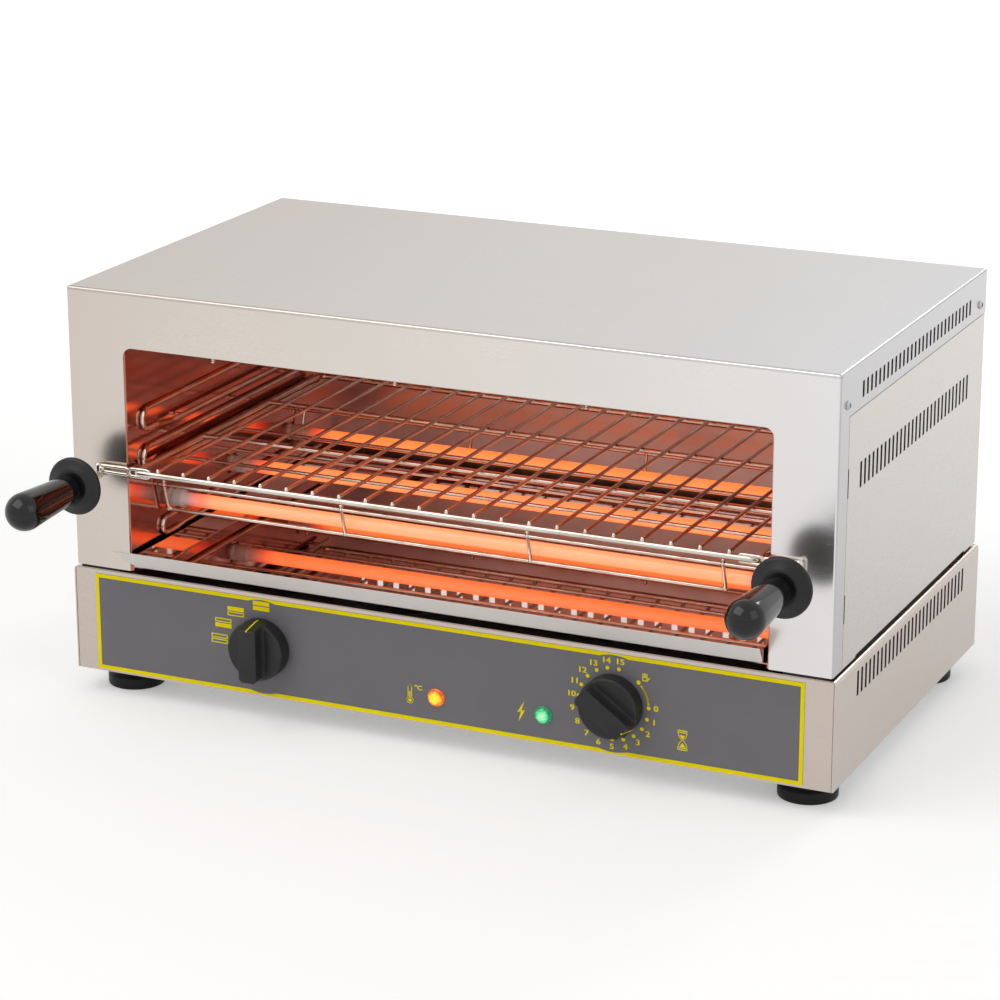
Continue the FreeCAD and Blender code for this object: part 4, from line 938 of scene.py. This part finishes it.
def make_label_print():
    """The yellow border, the dial's figures and the symbols on the control panel."""
    shape = Shape()
    face = LABEL_FACE
    selector, timer = knob_centre("selector_knob"), knob_centre("timer_knob")
    field, border_line = 38.7 * MM, 3.1 * MM
    border(shape, (selector, timer), field, border_line, face)
    # The icons' places from the selector's middle in millimetres, and whether each row of tubes is on.
    for across, up, upper, lower in (
        (-38.1, 1.5, False, False),
        (-34.4, 15, False, True),
        (-23.1, 25.8, True, False),
        (-0.4, 33.6, True, True),
    ):
        bars_icon(shape, selector[0] + across * MM, selector[1] + up * MM, upper, lower, face)
    dot_ring, figure_ring, figure_size = 28.4 * MM, 34.3 * MM, 6.3 * MM
    for minute in range(16):
        degrees = DIAL_ZERO + DIAL_MINUTE * minute
        shape.plate(disc(*polar(timer, dot_ring, degrees), 1.55 * MM), face)
        figures(shape, str(minute), *polar(timer, figure_ring, degrees), figure_size, face)
    shape.plate(disc(*polar(timer, dot_ring, DIAL_HOLD), 1.7 * MM), face)
    stroke(shape, arc_points(*timer, dot_ring, DIAL_HOLD + 7, DIAL_ZERO - 6), 1.6 * MM, face)
    hand_symbol(shape, *polar(timer, 35.5 * MM, DIAL_HOLD), face)
    centre_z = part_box("amber_lens")[0].z + 6.6 * MM
    thermometer_symbol(shape, -22.5 * MM, centre_z, face)
    figures(shape, "°C", -15.2 * MM, centre_z + 5.4 * MM, 5 * MM, face)
    flash_symbol(shape, 71.1 * MM, centre_z, face)
    hourglass_symbol(shape, 202.2 * MM, timer[1] - 20 * MM, face)
    shape.build("label_print", "yellow", "root", slot="label", smooth=10)


def flash_symbol(shape, x, z, face):
    """A flash that marks the mains lamp."""
    bolt = [(2.4, 8.4), (-3.1, -0.7), (-0.1, 0.2), (-2.2, -8.4), (3.3, 1.5), (0.4, 0.8)]
    shape.plate([(x + a * MM, z + b * MM) for a, b in bolt], face)


def hand_symbol(shape, x, z, face):
    """A small open hand: an outlined palm, four fingers and a thumb."""
    finger_pitch = 1.1 * MM
    frame_lines(shape, x, z - 1.6 * MM, 4 * MM, 3.4 * MM, 0.7 * MM, face)
    for k in range(4):
        shape.plate(box_outline(x + (k - 1.5) * finger_pitch, z + 1.4 * MM, 0.65 * MM, 3 * MM), face)
    stroke(shape, [(x + 1.9 * MM, z - 2.6 * MM), (x + 3.6 * MM, z - 0.4 * MM)], 0.8 * MM, face)


def thermometer_symbol(shape, x, z, face):
    """A thermometer: an outlined stem with a round bulb, and the column in it."""
    half, bulb, line = 1.5 * MM, 2.7 * MM, 0.7 * MM
    bulb_z, top_z = z - 5.4 * MM, z + 7 * MM
    open_angle = math.degrees(math.asin(half / bulb))
    path = arc_points(x, top_z - half, half, -90, 90, 8)
    path += arc_points(x, bulb_z, bulb, open_angle, 360 - open_angle, 14)
    stroke(shape, path, line, face, closed=True)
    shape.plate(disc(x, bulb_z, 1.5 * MM), face)
    shape.plate(box_outline(x, z - 1.6 * MM, 1 * MM, 6.4 * MM), face)


def hourglass_symbol(shape, x, z, face):
    """An hourglass drawn in lines, with sand in it. Its side is given as shares of half its size."""
    half, tall, line = 3.4 * MM, 7.6 * MM, 0.75 * MM
    side_path = [(1.08, 0.98), (1.0, 0.62), (0.8, 0.36), (0.45, 0.17), (0.14, 0.0)]
    for sign in (-1, 1):
        for level, reach in ((tall, half), (tall - 1.5 * MM, half + 0.5 * MM)):
            stroke(shape, [(x - reach, z + sign * level), (x + reach, z + sign * level)], line, face)
        for side in (-1, 1):
            stroke(shape, [(x + side * half * a, z + sign * tall * b) for a, b in side_path], line, face)
    shape.plate([(x - 2.5 * MM, z - 5.4 * MM), (x + 2.5 * MM, z - 5.4 * MM), (x, z - 2.2 * MM)], face)
    shape.plate([(x - 2.2 * MM, z + 3.8 * MM), (x, z + 0.8 * MM), (x + 2.2 * MM, z + 3.8 * MM)], face)


def add_camera():
    """The camera at the photograph's angle. Its place is given from the middle of the body's front edge."""
    place = Vector((1035.2, -2131.8, 949.2)) * MM + Vector((0, FRONT, 0))
    yaw, pitch, roll = -0.43153, -0.30554, -0.00105
    focal_in_widths = 3.3134
    data = bpy.data.cameras.new("camera")
    data.sensor_width = 36
    data.sensor_fit = "HORIZONTAL"
    data.lens = focal_in_widths * data.sensor_width
    data.clip_start = 0.05
    data.clip_end = 30
    camera = bpy.data.objects.new("camera", data)
    turn = Matrix.Rotation(-yaw, 3, "Z")
    turn = turn @ Matrix.Rotation(math.pi / 2 + pitch, 3, "X") @ Matrix.Rotation(roll, 3, "Z")
    camera.matrix_world = Matrix.Translation(place) @ turn.to_4x4()
    bpy.context.scene.collection.objects.link(camera)
    bpy.context.scene.camera = camera


def add_floor():
    """A wide pale floor, white to the camera and to reflections, that keeps the object's shadow."""
    half = 6.0
    near_lift, far_lift, lift_start, lift_end = 0.28, 0.55, 0.3, 1.8
    mesh = bpy.data.meshes.new("floor")
    corners = [(-half, -half, 0), (half, -half, 0), (half, half, 0), (-half, half, 0)]
    mesh.from_pydata(corners, [], [(0, 1, 2, 3)])
    floor = bpy.data.objects.new("floor", mesh)
    bpy.context.scene.collection.objects.link(floor)
    made = material("floor", (0.9, 0.9, 0.895), roughness=0.9)
    n = Nodes(made)
    n.set("Base Color", n.ramp(n.noise(2, 2), [(0.3, (0.895, 0.895, 0.89)), (0.7, (0.905, 0.905, 0.9))]))
    path = n.add("LightPath").outputs
    seen = n.calc("MAXIMUM", path["Is Camera Ray"], path["Is Glossy Ray"])
    brighter = n.span(n.axes()["Y"], near_lift, far_lift, lift_start, lift_end)
    n.shader.inputs["Emission Color"].default_value = (1, 1, 1, 1)
    n.set("Emission Strength", n.calc("MULTIPLY", seen, brighter))
    mesh.materials.append(made)


def add_area(name, place, target, size, power, colour):
    """A rectangular lamp at a place, aimed at a target."""
    data = bpy.data.lights.new(name, "AREA")
    data.shape = "RECTANGLE"
    data.size, data.size_y = size
    data.energy = power
    data.color = colour
    lamp = bpy.data.objects.new(name, data)
    lamp.location = place
    lamp.rotation_euler = (Vector(target) - Vector(place)).to_track_quat("-Z", "Y").to_euler()
    lamp.visible_camera = False
    bpy.context.scene.collection.objects.link(lamp)


def add_world():
    """An even room, which the camera and reflections see as plain white."""
    room_level, white_level = 0.5, 1.0
    world = bpy.data.worlds.new("world")
    bpy.context.scene.world = world
    world.use_nodes = True
    tree = world.node_tree
    room = tree.nodes["Background"]
    room.inputs["Color"].default_value = (1, 1, 1, 1)
    room.inputs["Strength"].default_value = room_level
    white = tree.nodes.new("ShaderNodeBackground")
    white.inputs["Color"].default_value = (1, 1, 1, 1)
    white.inputs["Strength"].default_value = white_level
    path = tree.nodes.new("ShaderNodeLightPath")
    either = tree.nodes.new("ShaderNodeMath")
    either.operation = "MAXIMUM"
    mix = tree.nodes.new("ShaderNodeMixShader")
    tree.links.new(path.outputs["Is Camera Ray"], either.inputs[0])
    tree.links.new(path.outputs["Is Glossy Ray"], either.inputs[1])
    tree.links.new(either.outputs[0], mix.inputs["Fac"])
    tree.links.new(room.outputs[0], mix.inputs[1])
    tree.links.new(white.outputs[0], mix.inputs[2])
    tree.links.new(mix.outputs[0], tree.nodes["World Output"].inputs["Surface"])


def add_lamps():
    """Two soft boxes, a low light behind, and daylight through the slots in the cavity's back."""
    level = BODY_TOP - VENT_DROP
    behind = (0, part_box("liner_back")[1].y + 4 * MM, level)
    width, height = 0.5, 12 * MM
    white_power = math.pi * width * height  # at which a lamp of this size looks white
    body = (0, 0, 0.15)
    add_area("vents", behind, (0, FRONT, level), (width, height), white_power, (1, 0.99, 0.96))
    add_area("key", (-1.2, -1.6, 2.4), body, (2.6, 2.0), 30, (1, 0.99, 0.97))
    add_area("fill", (2.4, -0.8, 1.6), body, (1.8, 1.8), 8, (0.97, 0.98, 1))
    add_area("behind", (0.7, 2.4, 1.65), (0.2, -0.15, 0.19), (0.8, 0.5), 7.5, (1, 1, 1))


bpy.context.scene.view_settings.view_transform = "Standard"
dress_nodes()
make_rack()
make_links()
make_handles()
make_runners()
make_guards()
make_tubes()
make_knob("selector_moulded", "selector_knob", "selector", 0)
make_knob("timer_moulded", "timer_knob", "timer", TIMER_AT_REST)
make_lens("amber_dome", "amber_lens")
make_lens("green_dome", "green_lens")
make_feet()
make_screws()
make_label_print()
add_floor()
add_world()
add_lamps()
add_camera()
